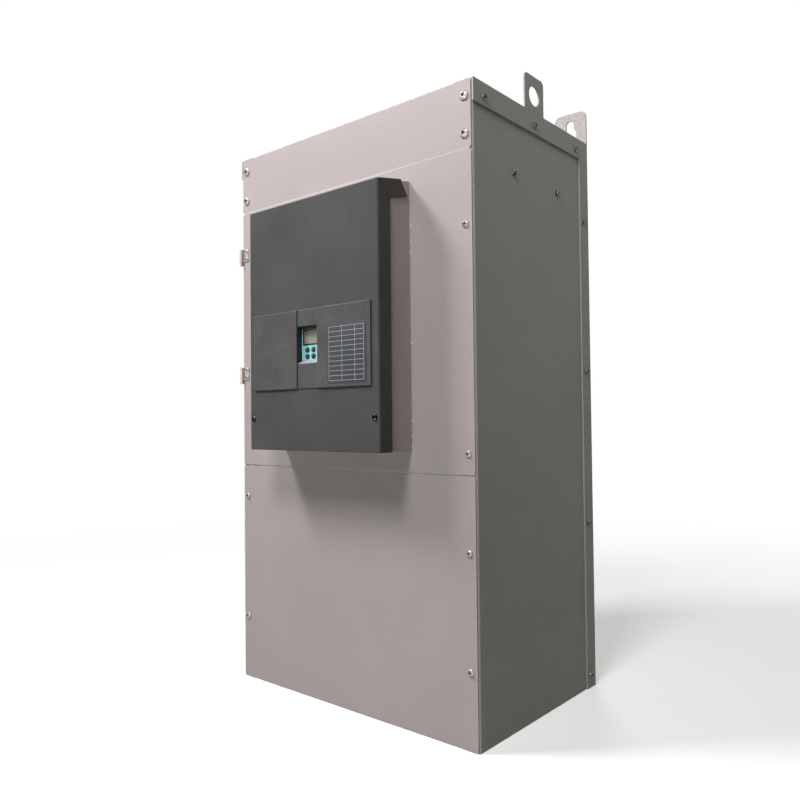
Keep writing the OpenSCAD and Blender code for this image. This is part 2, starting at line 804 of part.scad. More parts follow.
// Firing board: pulse transformers in a row, capacitors, plugs and a driver chip
module firing_board() {
    color("#2e6b45") {
        circuit_board(board_y, upper_board_z, board_w, board_h);
        translate([-board_w / 2, board_y - 1, upper_board_z]) {
            for (i = [0:5])
                block(board_w * (i + 0.5) / 6, board_h - pulse_transformer[2] - 12, pulse_transformer);
            for (i = [0:3]) can(board_w * (0.1 + i * 0.08), board_h * 0.3, board_capacitor);
            for (i = [0:1]) block(board_w * (0.7 + i * 0.18), board_margin, board_plug);
            block(board_w * 0.7, board_h * 0.32, driver_chip);
        }
    }
}

// Power interface board: relays, a transformer, terminals and resistors
module interface_board() {
    color("#2e6b45") {
        circuit_board(board_y, lower_board_z, board_w, board_h);
        translate([-board_w / 2, board_y - 1, lower_board_z]) {
            for (i = [0:3]) block(board_w * (0.1 + i * 0.11), board_h - relay[2] - 12, relay);
            block(board_w * 0.82, board_h - supply_transformer[2] - 18, supply_transformer);
            block(board_w / 2, 4, terminal_strip);
            for (i = [0:4]) translate([board_w * (0.09 + i * 0.065), -power_resistor[0], board_h * 0.25])
                cylinder(h = power_resistor[1], r = power_resistor[0]);
        }
    }
}

// Hexagon spacers behind both boards
module carrier_standoffs() {
    edge = 6;
    color("#c9ccd0") for (z = [lower_board_z, upper_board_z], x = [-1, 1], d = [edge, board_h - edge])
        translate([x * (board_w / 2 - edge), carrier_y, z + d]) rotate([90, 0, 0])
            cylinder(h = carrier_y - board_y, r = 3, $fn = 6);
}

// Door with its control box

// Flat door sheet, open behind the control box, with two welded stiffeners
module door_panel() {
    rib_x = mouth_x - 24;
    color("#b9b3b0") {
        difference() {
            translate([0, 0, door_z]) upright(front_y, sheet_t) plate2(panel_w, door_h, panel_r);
            translate([-box_w / 2 + 18, front_y - 5, box_z + 18]) cube([box_w - 36, 10, box_h - 40]);
            front_drill(door_places, panel_screw);
            front_drill(leaf_places, leaf_screw);
        }
        for (s = [-1, 1]) translate([s * rib_x, flange_y + 12, door_z + 16]) rotate([0, 0, 180])
            linear_extrude(door_h - 32) channel2(24, 12, sheet_t, bend_r);
    }
}

// Box on the door: four walls with a sloping top, and a flange round the opening at the back
module control_box() {
    reach = box_d - sheet_t - fit;
    color("#b9b3b0") difference() {
        sideways(-box_w / 2, box_w) polygon([[front_y, box_z], [front_y, box_top],
            [front_y - reach, box_top - tan_top * reach], [front_y - reach, box_z]]);
        sideways(-box_w / 2 + sheet_t, box_w - 2 * sheet_t) polygon([[front_y - sheet_t, box_z + sheet_t],
            [front_y - sheet_t, box_top - sheet_t - tan_top * sheet_t],
            [front_y - box_d, box_top - sheet_t - tan_top * box_d], [front_y - box_d, box_z + sheet_t]]);
        translate([-box_w / 2 + 18, front_y - 5, box_z + 18]) cube([box_w - 36, 10, box_h - 40]);
    }
}

// Dark cover: front, folded sides, a sloping top with mitred ears and a lip below
module control_cover() {
    along = [cos(box_slope), sin(box_slope)];
    down = [sin(box_slope), -cos(box_slope)];
    brow = [cover_y, cover_top_z];
    rear = brow + cover_top * along;
    mitre = brow + [cover_flange, -18.7];
    tail = rear + (cover_flange - 1) * down + 9 * along;
    slit = [0, -1];
    color("#5a5d5d") difference() {
        union() {
            translate([-cover_hw, cover_y, cover_z])
                cube([2 * cover_hw, sheet_t, cover_top_z - cover_z - 0.5]);
            sideways(-cover_hw, 2 * cover_hw)
                polygon([brow, rear, rear + sheet_t * down, brow + [0, -sheet_t / along[0]]]);
            for (x = [-cover_hw, cover_hw - sheet_t]) {
                sideways(x, sheet_t)
                    polygon([[cover_y, cover_z], [mitre[0], cover_z], mitre + slit, brow + slit]);
                sideways(x, sheet_t) polygon([brow, rear, tail, mitre]);
            }
            translate([-cover_hw + 4, cover_y, cover_z]) cube([2 * cover_hw - 8, lip_d, sheet_t]);
        }
        for (s = [0, 1]) mirror([s, 0, 0]) translate([-cover_hw, cover_y, cover_z - 1])
            linear_extrude(box_h + 40) corner_cut(bend_r - 0.5);
        translate([window_x - window_w / 2 - collar_t - fit, cover_y - 5, window_z - ledge - fit])
            cube([window_w + 2 * (collar_t + fit), 10, window_h + 2 * (ledge + fit)]);
        for (p = cover_places) translate([p[0], cover_y, p[1]]) rotate([90, 0, 0])
            cylinder(h = 10, r = cover_screw[2] + room, center = true);
    }
}

// Moulded band: two raised parts, a sunk middle, and a collar round the keypad's window with a sloping sill
module fascia_band() {
    x0 = window_x - window_w / 2;
    left = band_x - band_w / 2;
    back = keypad_y + 1;
    sunk = cover_y - band_mid_t;
    color("#64615f") {
        difference() {
            translate([left, cover_y - band_t, band_z]) cube([band_w, band_t, band_h]);
            translate([x0, sunk - 10, band_z - 1]) cube([window_w, 10, band_h + 2]);
            translate([x0, cover_y - 10, window_z]) cube([window_w, 20, window_h]);
            sideways(left - 1, band_w + 2) translate([cover_y - band_t, band_z + band_h])
                mirror([0, 1]) corner_cut(0.9);
        }
        difference() {
            translate([x0 - collar_t, cover_y - 0.4, window_z - ledge])
                cube([window_w + 2 * collar_t, back - cover_y + 0.4, window_h + 2 * ledge]);
            sideways(x0, window_w) polygon([[sunk, window_z], [keypad_y, window_z + sill],
                [back + 1, window_z + sill], [back + 1, window_z + window_h - 0.6],
                [sunk, window_z + window_h]]);
        }
    }
}

// Place of a key by column and row
function key_place(c, r) = [key_x + c * key_pitch_x, keypad_y, key_z + (0.5 - r) * key_pitch_z];

// Outline of a key, larger by a margin
module key2(m) {
    r = key_h / 2 + m;
    d = (key_w - key_h) / 2;
    for (s = [-1, 1]) translate([s * d, 0]) circle(r);
    square([2 * d, 2 * r], center = true);
}

// Keypad body with its display recess and key wells
module keypad_housing() {
    color("#76beba") difference() {
        translate([window_x - keypad_w / 2, keypad_y, window_z + sill + fit])
            cube([keypad_w, keypad_d, keypad_h]);
        translate([window_x - lcd_w / 2, keypad_y - 1, lcd_z]) cube([lcd_w, 2.5, lcd_h]);
        for (c = [-1:1], r = [0, 1]) translate(key_place(c, r)) rotate([90, 0, 0])
            translate([0, 0, -6]) linear_extrude(8) key2(fit);
    }
}

// Display glass set in the recess
module keypad_display() {
    color("#a0a58c") translate([window_x - lcd_w / 2 + 0.2, keypad_y + 0.5, lcd_z + 0.2])
        cube([lcd_w - 0.4, 1, lcd_h - 0.4]);
}

// Key in its well, standing out by a little more than its travel
module key(c, r) {
    color("#1d2a2c") translate(key_place(c, r)) rotate([90, 0, 0])
        translate([0, 0, key_travel - 6 + 0.1]) linear_extrude(6.1) key2(0);
}
module key_on() { key(-1, 0); }
module key_off() { key(-1, 1); }
module key_jog() { key(0, 0); }
module key_up() { key(1, 0); }
module key_down() { key(1, 1); }
module key_enter() { key(0, 1); }

// Moulded seat between the control board and the keypad
module keypad_carrier() {
    back = keypad_y + keypad_d;
    color("#3a3c3e") translate([window_x, back, window_z + sill + fit]) rotate([-90, 0, 0])
        linear_extrude(ctrl_y - pcb_t - back) mirror([0, 1]) difference() {
            plate2(keypad_w, keypad_h, 2);
            translate([0, 5]) plate2(keypad_w - 10, keypad_h - 10, 2);
        }
}

// Control board on four spacers in the box, with a processor, capacitors and sockets
module control_board() {
    edge = 6;
    seat_y = front_y - sheet_t;
    color("#2e6b45") {
        circuit_board(ctrl_y, ctrl_z, ctrl_w, ctrl_h);
        for (x = [-1, 1], d = [edge, ctrl_h - edge])
            translate([x * (ctrl_w / 2 - edge), seat_y, ctrl_z + d]) rotate([90, 0, 0])
                cylinder(h = seat_y - ctrl_y + 0.6, r = 3, $fn = 6);
        translate([-ctrl_w / 2, ctrl_y - 1, ctrl_z]) {
            block(ctrl_w * 0.8, ctrl_h * 0.68, processor);
            for (i = [0:2]) can(ctrl_w * (0.12 + i * 0.11), ctrl_h * 0.84, box_capacitor);
            block(ctrl_w * 0.82, ctrl_h * 0.28, box_plug);
            block(ctrl_w * 0.16, ctrl_h * 0.38, box_plug);
        }
    }
}

// Plug-in terminal strips along the control board's lower edge
module control_terminals() {
    strips = 2;
    ways = 10;
    gap = 8;
    w = (ctrl_w - 5 * gap) / strips;
    color("#3f7d4e") for (i = [0:strips - 1])
        translate([-ctrl_w / 2 + 2 * gap + i * (w + gap), ctrl_y - pcb_t - 18, ctrl_z + 16]) difference() {
            cube([w, 18, 18]);
            for (k = [0:ways - 1]) translate([(k + 0.5) * w / ways - 2, 2.6, -1]) cube([4, 6, 9]);
        }
}

module door_screws() {
    color("#d2d4d6") {
        for (p = door_places) translate([p[0], front_y, p[1]]) rotate([90, 0, 0]) screw(panel_screw);
        for (p = leaf_places) translate([p[0], front_y - leaf_t, p[1]]) rotate([90, 0, 0])
            screw(leaf_screw);
    }
}

module cover_screws() {
    color("#2e3032") for (p = cover_places) translate([p[0], cover_y, p[1]]) rotate([90, 0, 0])
        screw(cover_screw);
}

// Hinges at the door's left edge

// Leaf on the door with the upper knuckle
module hinge_door_leaves() {
    color("#c4c6c8") for (z = hinge_up) difference() {
        translate([-side_x, 0, door_z + z]) {
            translate([0, front_y - leaf_t, 0]) cube([leaf_w, leaf_t, leaf_h]);
            translate([0, hinge_y, 0]) cylinder(h = leaf_h, r = knuckle_r);
        }
        translate([-side_x, hinge_y, door_z + z - 1]) cylinder(h = leaf_h + 2, r = pin_r + 0.05);
        front_drill(leaf_places, leaf_screw);
    }
}

// Leaf on the left side panel with the lower knuckle
module hinge_frame_leaves() {
    color("#c4c6c8") for (z = hinge_up) translate([-side_x, 0, door_z + z - fixed_h - 0.3]) difference() {
        union() {
            translate([-leaf_t, front_y + 2, 0]) cube([leaf_t, 20, leaf_h + fixed_h]);
            translate([-leaf_t, hinge_y, 0]) cube([leaf_t, front_y + 4 - hinge_y, fixed_h]);
            translate([0, hinge_y, 0]) cylinder(h = fixed_h, r = knuckle_r);
        }
        translate([0, hinge_y, -1]) cylinder(h = fixed_h + 2, r = pin_r + 0.02);
    }
}

// Pins through both knuckles
module hinge_pins() {
    color("#c9ccd0") for (z = hinge_up) translate([-side_x, hinge_y, door_z + z - fixed_h - 0.3]) {
        cylinder(h = fixed_h + leaf_h + 0.8, r = pin_r);
        translate([0, 0, -1]) cylinder(h = 1, r = knuckle_r - 0.4);
    }
}

rear_frame();
side_panel_right();
side_panel_left();
lifting_bracket_right();
lifting_bracket_left();
top_front_plate();
lower_cover();
bottom_plate();
roof_plate();
front_rails();
fan_shelf();
fan_guards();
fan_housing_left();
fan_housing_right();
fan_wheel_left();
fan_wheel_right();
top_plate_screws();
lower_cover_screws();
side_screws();
hinge_frame_leaves();
hinge_pins();
heat_sink();
heat_sink_rails();
forward_modules();
reverse_modules();
ac_busbar_1();
ac_busbar_2();
ac_busbar_3();
line_fuses();
ac_terminal_1();
ac_terminal_2();
ac_terminal_3();
dc_busbar_positive();
dc_busbar_negative();
busbar_spacers();
terminal_rail();
busbar_insulators();
current_transformers();
board_carrier();
firing_board();
interface_board();
carrier_standoffs();
door_panel();
control_box();
control_cover();
fascia_band();
keypad_housing();
keypad_display();
keypad_carrier();
control_board();
control_terminals();
door_screws();
cover_screws();
hinge_door_leaves();
key_on();
key_off();
key_jog();
key_up();
key_down();
key_enter();
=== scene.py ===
"""Looks of a tall wall-mounted variable speed drive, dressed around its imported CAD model.

The casing wears a warm light grey powder coat, the folded control cover a darker one. A moulded fascia band
with a small teal keypad sits on that cover. Inside are three circuit boards, busbars, fuses and two fans.
"""

import logging
import math
from dataclasses import dataclass, replace
from enum import Enum
from typing import Iterable

import bmesh
import bpy
from bmesh.types import BMEdge, BMesh, BMVert
from bpy.types import Node, NodeSocket, NodeTree
from mathutils import Matrix, Vector


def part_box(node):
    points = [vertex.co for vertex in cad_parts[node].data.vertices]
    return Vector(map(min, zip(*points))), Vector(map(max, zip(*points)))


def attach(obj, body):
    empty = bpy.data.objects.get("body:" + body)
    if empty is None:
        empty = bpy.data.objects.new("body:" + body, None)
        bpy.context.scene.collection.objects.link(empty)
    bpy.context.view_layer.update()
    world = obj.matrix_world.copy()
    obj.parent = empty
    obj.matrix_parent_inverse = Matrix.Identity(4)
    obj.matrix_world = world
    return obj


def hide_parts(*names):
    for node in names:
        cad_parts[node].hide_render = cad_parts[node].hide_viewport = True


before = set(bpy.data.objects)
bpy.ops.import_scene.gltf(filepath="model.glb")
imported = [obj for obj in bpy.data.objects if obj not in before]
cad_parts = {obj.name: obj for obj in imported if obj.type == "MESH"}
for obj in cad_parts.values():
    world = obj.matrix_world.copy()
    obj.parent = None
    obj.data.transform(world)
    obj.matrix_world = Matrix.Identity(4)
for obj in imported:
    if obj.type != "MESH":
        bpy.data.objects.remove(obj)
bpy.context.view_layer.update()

LOG = logging.getLogger("drive")
MM = 0.001
TINY = 1e-6
WHITE = "#ffffff"
SMOOTH_ANGLE = math.radians(32.0)
FRONT = Matrix.Rotation(math.radians(90.0), 4, "X")
RIGHT = Matrix.Rotation(math.radians(90.0), 4, "Y")
LEFT = Matrix.Rotation(math.radians(-90.0), 4, "Y")
UNDER = Matrix.Rotation(math.pi, 4, "X")
SIDES = (-1, 1)
# Least cosine between a direction and an axis that it counts as lying along
ALONG = 0.9
# Greatest rounding of a block, as a share of its least side
EDGE_LIMIT = 0.45
# Share of a plate's corner that is cut, which keeps two full corners from meeting
CORNER_SHARE = 0.998
# How far a printed or stuck-on piece goes into its ground, in millimetres
SEAT = 0.1
# Range of a noise texture's values that is spread over a whole pattern
NOISE = {"From Min": 0.3, "From Max": 0.7}
# Inputs of a colour Mix node: the share and the two colours
SHARE, FROM, TO = 0, 6, 7

Point = tuple[float, float, float]
Span = tuple[float, float]
Profile = list[Span]


# Shared tools


def linear(code: str) -> tuple[float, float, float, float]:
    """Turns an sRGB hex colour into linear light.

    Args:
        code: colour as "#rrggbb".

    Returns:
        Linear red, green and blue, and an alpha of one.
    """
    parts = [int(code[i : i + 2], 16) / 255.0 for i in (1, 3, 5)]
    red, green, blue = (c / 12.92 if c <= 0.04045 else ((c + 0.055) / 1.055) ** 2.4 for c in parts)
    return red, green, blue, 1.0


def plug(tree: NodeTree, node: Node, inputs: dict) -> None:
    """Sets or links a node's inputs.

    Args:
        tree: node tree that holds the node.
        node: the node.
        inputs: name or number of an input to a value, a hex colour, a socket or a node, for its first output.
    """
    for key, value in inputs.items():
        if isinstance(value, Node):
            value = next(s for s in value.outputs if s.enabled)
        if isinstance(value, NodeSocket):
            tree.links.new(value, node.inputs[key])
        else:
            node.inputs[key].default_value = linear(value) if isinstance(value, str) else value


def add_node(tree: NodeTree, kind: str, inputs: dict | None = None, **settings: object) -> Node:
    """Adds one shader node with its settings, values and links.

    Args:
        tree: node tree that takes the node.
        kind: Blender's type name of the node, without its prefix.
        inputs: what its inputs get, as plug() takes it.
        settings: properties of the node itself.

    Returns:
        The new node.
    """
    made = tree.nodes.new(f"ShaderNode{kind}")
    for key, value in settings.items():
        setattr(made, key, value)
    plug(tree, made, inputs or {})
    return made


def per_metre(size_mm: float) -> float:
    """Returns the texture scale that gives features of this size in millimetres."""
    return 1.0 / (size_mm * MM)


def at(x: float, y: float, z: float, turn: Matrix | None = None) -> Matrix:
    """Returns the place of a piece from millimetres and a turn."""
    return Matrix.Translation((x * MM, y * MM, z * MM)) @ (turn or Matrix.Identity(4))


def around(middle: float, half: float) -> Span:
    """Returns the span that reaches equally far to both sides of a middle."""
    return middle - half, middle + half


def box_mm(node: str) -> tuple[Vector, Vector]:
    """Returns the lowest and the highest corner of a CAD node, in millimetres."""
    low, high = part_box(node)
    return low / MM, high / MM


def added(bm: BMesh, before: set) -> list[BMVert]:
    """Returns the vertices that a bmesh got since it had those in before."""
    return [v for v in bm.verts if v not in before]


def edges_of(verts: Iterable[BMVert]) -> set[BMEdge]:
    """Returns the edges that meet any of these vertices."""
    return {e for v in verts for e in v.link_edges}


def set_in_place(bm: BMesh, before: set, place: Matrix) -> None:
    """Moves what a bmesh got since it had the vertices in before."""
    bmesh.ops.transform(bm, matrix=place, verts=added(bm, before))


def round_edges(bm: BMesh, edges: Iterable[BMEdge], size: float, segments: int = 2) -> None:
    """Rounds edges.

    Args:
        bm: bmesh that holds them.
        edges: the edges.
        size: of the rounding, in metres.
        segments: steps across the rounding.
    """
    shape = {"offset_type": "OFFSET", "profile": 0.5, "affect": "EDGES", "material": -1}
    bmesh.ops.bevel(bm, geom=list(edges), offset=size, segments=segments, **shape)


def add_block(bm: BMesh, low: Point, high: Point, edge: float = 0.3, segments: int = 2) -> None:
    """Adds a block with rounded edges.

    Args:
        bm: bmesh that takes the block.
        low: lowest corner in millimetres.
        high: highest corner in millimetres.
        edge: size of the rounding in millimetres.
        segments: steps across the rounding.
    """
    made = bmesh.ops.create_cube(bm, size=1.0)["verts"]
    size = [(b - a) * MM for a, b in zip(low, high)]
    bmesh.ops.scale(bm, vec=size, verts=made)
    bmesh.ops.translate(bm, vec=[(a + b) / 2 * MM for a, b in zip(low, high)], verts=made)
    if edge > 0:
        round_edges(bm, edges_of(made), min(edge * MM, min(size) * EDGE_LIMIT), segments)


def add_turned(bm: BMesh, profile: Profile, place: Matrix, steps: int = 24) -> None:
    """Adds a turned shape, spun round its own z.

    Args:
        bm: bmesh that takes the shape.
        profile: radius and height pairs in millimetres.
        place: where the shape goes.
        steps: faces round the turn.
    """
    before = set(bm.verts)
    line = [bm.verts.new((r * MM, 0.0, h * MM)) for r, h in profile]
    edges = [bm.edges.new(pair) for pair in zip(line, line[1:])]
    turn = {"cent": (0, 0, 0), "axis": (0, 0, 1), "dvec": (0, 0, 0), "angle": 2 * math.pi}
    bmesh.ops.spin(bm, geom=line + edges, steps=steps, use_merge=True, **turn)
    bmesh.ops.remove_doubles(bm, verts=added(bm, before), dist=TINY)
    set_in_place(bm, before, place)


def add_plate(bm: BMesh, low: Point, high: Point, corner: float, axis: int = 1, rim: float = 0.3) -> None:
    """Adds a plate with round corners in plan and a softened rim.

    Args:
        bm: bmesh that takes the plate.
        low: lowest corner in millimetres.
        high: highest corner in millimetres.
        corner: radius in plan, in millimetres.
        axis: number of the axis that the plan is seen along.
        rim: size of the rim's rounding in millimetres.
    """
    before = set(bm.verts)
    add_block(bm, low, high, edge=0.0)
    runs = {e: (e.verts[0].co - e.verts[1].co).normalized() for e in edges_of(added(bm, before))}
    across = [e for e, run in runs.items() if abs(run[axis]) > ALONG]
    round_edges(bm, across, corner * CORNER_SHARE * MM, segments=8)
    bm.normal_update()
    faces = {f for v in added(bm, before) for f in v.link_faces}
    ends = [f for f in faces if abs(f.normal[axis]) > ALONG]
    round_edges(bm, {e for f in ends for e in f.edges}, rim * MM)


def add_socketed(bm: BMesh, low: Point, high: Point, mouths: dict[tuple[int, int], Span]) -> None:
    """Adds a plain block with a pocket sunk into some of its sides.

    Args:
        bm: bmesh that takes the block.
        low: lowest corner in millimetres.
        high: highest corner in millimetres.
        mouths: axis and sign of a side to its wall and depth in millimetres.
    """
    before = set(bm.verts)
    add_block(bm, low, high, edge=0.0)
    bm.normal_update()
    sides = list({f for v in added(bm, before) for f in v.link_faces})
    for (axis, sign), (wall, depth) in mouths.items():
        picked = [f for f in sides if f.is_valid and f.normal[axis] * sign > ALONG]
        bmesh.ops.inset_individual(bm, faces=picked, thickness=wall * MM, depth=0.0)
        for face in bmesh.ops.extrude_discrete_faces(bm, faces=picked)["faces"]:
            bmesh.ops.translate(bm, vec=face.normal * -depth * MM, verts=face.verts)


def add_hexagon(bm: BMesh, across: float, height: float, place: Matrix, chamfer: float = 0.05) -> None:
    """Adds a hexagon head or nut with a chamfered top.

    Args:
        bm: bmesh that takes the hexagon.
        across: width over its flats in millimetres.
        height: its height in millimetres.
        place: its seat, with its own z along the bolt.
        chamfer: size of the chamfer as a share of the width.
    """
    before = set(bm.verts)
    r = across / math.sqrt(3.0) * MM
    bmesh.ops.create_cone(bm, cap_ends=True, segments=6, radius1=r, radius2=r, depth=height * MM)
    top = [e for e in edges_of(added(bm, before)) if all(v.co.z > 0 for v in e.verts)]
    round_edges(bm, top, across * chamfer * MM)
    set_in_place(bm, before, place @ at(0.0, 0.0, height / 2))


def add_bolt(bm: BMesh, place: Matrix, across: float = 13.0, height: float = 5.3) -> None:
    """Adds a hexagon bolt's head on its washer.

    Args:
        bm: bmesh that takes the bolt.
        place: where the washer sits, with its own z along the bolt.
        across: width over the flats in millimetres.
        height: height of the head in millimetres.
    """
    r, t, rim = across * 0.85, 1.6, 0.2
    washer = [(0.0, 0.0), (r - rim, 0.0), (r, rim), (r, t - rim), (r - rim, t), (0.0, t)]
    add_turned(bm, washer, place)
    add_hexagon(bm, across, height, place @ at(0.0, 0.0, t))


def finish_piece(
    name: str,
    bm: BMesh,
    finish: "Finish",
    body: str,
    stands_for: Iterable[str] = (),
    second: "Finish | None" = None,
) -> None:
    """Makes an object of a bmesh, dresses it and hangs it on its body.

    Args:
        name: name of the piece.
        bm: bmesh with the shape in place, which is freed.
        finish: its surface.
        body: CAD body that it moves with.
        stands_for: CAD nodes that it replaces.
        second: surface of the faces that carry material number one.
    """
    bmesh.ops.recalc_face_normals(bm, faces=bm.faces)
    mesh = bpy.data.meshes.new(name)
    bm.to_mesh(mesh)
    bm.free()
    mesh.shade_smooth()
    mesh.set_sharp_from_angle(angle=SMOOTH_ANGLE)
    mesh.materials.append(finish.build())
    if second:
        mesh.materials.append(second.build())
    piece = bpy.data.objects.new(name, mesh)
    bpy.context.scene.collection.objects.link(piece)
    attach(piece, body)
    if stands_for:
        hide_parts(*stands_for)
    LOG.info("%s on %s: %d faces", name, body, len(mesh.polygons))


# Finishes


@dataclass(frozen=True)
class Finish:
    """A surface finish. Each kind wires its own pattern."""

    name: str
    colour: str
    roughness: float

    def build(self) -> bpy.types.Material:
        """Makes the material at its first use and returns it."""
        made = bpy.data.materials.get(self.name)
        if made is None:
            made = bpy.data.materials.new(self.name)
            made.use_nodes = True
            tree = made.node_tree
            coords = add_node(tree, "TexCoord").outputs["Object"]
            plug(tree, tree.nodes["Principled BSDF"], self.wire(tree, coords))
        return made

    def wire(self, tree: NodeTree, coords: NodeSocket) -> dict:
        """Wires the pattern of this kind of finish.

        Args:
            tree: node tree of the material.
            coords: object coordinates.

        Returns:
            What the shader's inputs get, as plug() takes it.
        """
        raise NotImplementedError


@dataclass(frozen=True)
class EdgedFinish(Finish):
    """A finish that wanders between two colours, with shading normals rounded along its edges and an edge
    colour painted there: a painted highlight where that colour is paler and painted shade where it is darker.
    """

    shade: str = "#000000"
    cloud_mm: float = 40.0
    # Colour painted along the edges: a painted highlight when paler than the surface, painted shade when
    # darker
    edge: str = WHITE
    edge_mm: float = 0.5
    painted_edge_share: float = 0.0
    gloss_spread: float = 0.06
    edge_from: float = 0.98
    edge_full: float = 0.75

    def dress(self, tree: NodeTree, tint: Node, gloss: Node, relief: Node, depth_mm: float) -> dict:
        """Rounds the edges' shading normals, paints the edge colour along them as painted light, and lays a
        relief over the surface.

        Args:
            tree: node tree of the material.
            tint: colour of the flat surface.
            gloss: pattern that varies the roughness.
            relief: pattern of heights.
            depth_mm: depth of the relief in millimetres.

        Returns:
            What the shader's colour, roughness and normal get.
        """
        rounded = add_node(tree, "Bevel", {"Radius": self.edge_mm * MM}, samples=4)
        flat = add_node(tree, "NewGeometry").outputs["Normal"]
        facing = add_node(tree, "VectorMath", {0: rounded, 1: flat}, operation="DOT_PRODUCT")
        bend = {"From Min": self.edge_from, "From Max": self.edge_full, "To Max": self.painted_edge_share}
        # How much of the edge colour is painted on, as painted light along the rounded edges
        mask = add_node(tree, "MapRange", bend | {"Value": facing})
        painted_edge_light = add_node(tree, "Mix", {SHARE: mask, FROM: tint, TO: self.edge}, data_type="RGBA")
        heights = {"Height": relief, "Distance": depth_mm * MM, "Strength": 1.0, "Normal": rounded}
        bump = add_node(tree, "Bump", heights)
        least, most = around(self.roughness, self.gloss_spread)
        spread = NOISE | {"Value": gloss, "To Min": least, "To Max": most}
        return {"Base Color": painted_edge_light, "Roughness": add_node(tree, "MapRange", spread), "Normal": bump}


@dataclass(frozen=True)
class PowderCoat(EdgedFinish):
    """Sprayed and baked polyester powder on sheet steel: a fine orange peel, faint clouds and an edge colour
    painted along the edges as painted light.
    """

    cloud_mm: float = 170.0
    edge_mm: float = 0.7
    painted_edge_share: float = 0.35
    gloss_spread: float = 0.05
    grit: str = "#000000"
    grit_mm: float = 1.5
    grit_share: float = 0.6
    grit_range: Span = (0.35, 0.75)
    peel_mm: float = 2.2
    peel_depth_mm: float = 0.1
    shine: float = 0.5
    ior: float = 1.5

    def wire(self, tree: NodeTree, coords: NodeSocket) -> dict:
        """Wires clouds, grit, the painted light along the edges and the orange peel.

        Args:
            tree: node tree of the material.
            coords: object coordinates.

        Returns:
            What the shader's inputs get.
        """
        # The grit is drawn coarser than the real tenth of a millimetre so that it shows
        cloud, grit, peel = (
            add_node(tree, "TexNoise", {"Vector": coords, "Scale": per_metre(size), "Detail": detail})
            for size, detail in ((self.cloud_mm, 3.0), (self.grit_mm, 2.0), (self.peel_mm, 2.0))
        )
        clouds = add_node(tree, "MapRange", NOISE | {"Value": cloud})
        ground = add_node(tree, "Mix", {SHARE: clouds, FROM: self.shade, TO: self.colour}, data_type="RGBA")
        least, most = self.grit_range
        dark = {"Value": grit, "From Min": least, "From Max": most, "To Max": self.grit_share}
        specks = add_node(tree, "MapRange", dark)
        gritty = add_node(tree, "Mix", {SHARE: specks, FROM: ground, TO: self.grit}, data_type="RGBA")
        surface = self.dress(tree, gritty, grit, peel, self.peel_depth_mm)
        return surface | {"IOR": self.ior, "Specular IOR Level": self.shine}


@dataclass(frozen=True)
class BareMetal(Finish):
    """Bare or plated metal: fine lines from rolling or turning, with dull patches. On the side screws the
    dark patches are painted shade, on the satin nickel partly so, and on the cover's screws the bright ground
    between them is a painted glint.
    """

    # Colour of the dull patches; on the side screws, and partly on the satin nickel, these are painted shade
    dull_and_shade: str = "#808080"
    line_mm: Point = (0.4, 0.4, 0.4)
    patch_mm: float = 14.0
    patch_share: float = 0.6
    line_depth_mm: float = 0.01
    smoother: float = 0.1
    rougher: float = 0.12

    def wire(self, tree: NodeTree, coords: NodeSocket) -> dict:
        """Wires the dull patches, with the painted shade and painted glints that some finishes carry in them,
        and the lines of the working.

        Args:
            tree: node tree of the material.
            coords: object coordinates.

        Returns:
            What the shader's inputs get.
        """
        spots = {"Vector": coords, "Scale": per_metre(self.patch_mm)}
        patch = add_node(tree, "TexVoronoi", spots, feature="SMOOTH_F1")
        share = add_node(tree, "MapRange", {"Value": patch, "From Max": 0.8, "To Max": self.patch_share})
        tint = add_node(tree, "Mix", {SHARE: share, FROM: self.colour, TO: self.dull_and_shade}, data_type="RGBA")
        stretch = add_node(tree, "Mapping", {"Vector": coords, "Scale": [per_metre(s) for s in self.line_mm]})
        lines = add_node(tree, "TexNoise", {"Vector": stretch, "Scale": 1.0, "Detail": 3.0})
        least, most = self.roughness - self.smoother, self.roughness + self.rougher
        gloss = add_node(tree, "MapRange", {"Value": lines, "To Min": least, "To Max": most})
        bump = add_node(tree, "Bump", {"Height": lines, "Distance": self.line_depth_mm * MM, "Strength": 0.6})
        return {"Base Color": tint, "Roughness": gloss, "Normal": bump, "Metallic": 1.0}


@dataclass(frozen=True)
class Moulding(EdgedFinish):
    """Moulded plastic, resin or rubber: a fine eroded grain from the tool and faint flow clouds."""

    grain_mm: float = 0.8
    grain_depth_mm: float = 0.02
    flow_range: Span = (0.12, 0.38)
    ior: float = 1.5

    def wire(self, tree: NodeTree, coords: NodeSocket) -> dict:
        """Wires flow clouds, the tool's grain and rounded edges with their painted edge light.

        Args:
            tree: node tree of the material.
            coords: object coordinates.

        Returns:
            What the shader's inputs get.
        """
        cloud, grain = (
            add_node(tree, "TexNoise", {"Vector": coords, "Scale": per_metre(size), "Detail": 2.0})
            for size in (self.cloud_mm, self.grain_mm)
        )
        both = add_node(tree, "Math", {0: cloud, 1: grain}, operation="MULTIPLY")
        least, most = self.flow_range
        share = add_node(tree, "MapRange", {"Value": both, "From Min": least, "From Max": most})
        tint = add_node(tree, "Mix", {SHARE: share, FROM: self.shade, TO: self.colour}, data_type="RGBA")
        return self.dress(tree, tint, grain, grain, self.grain_depth_mm) | {"IOR": self.ior}


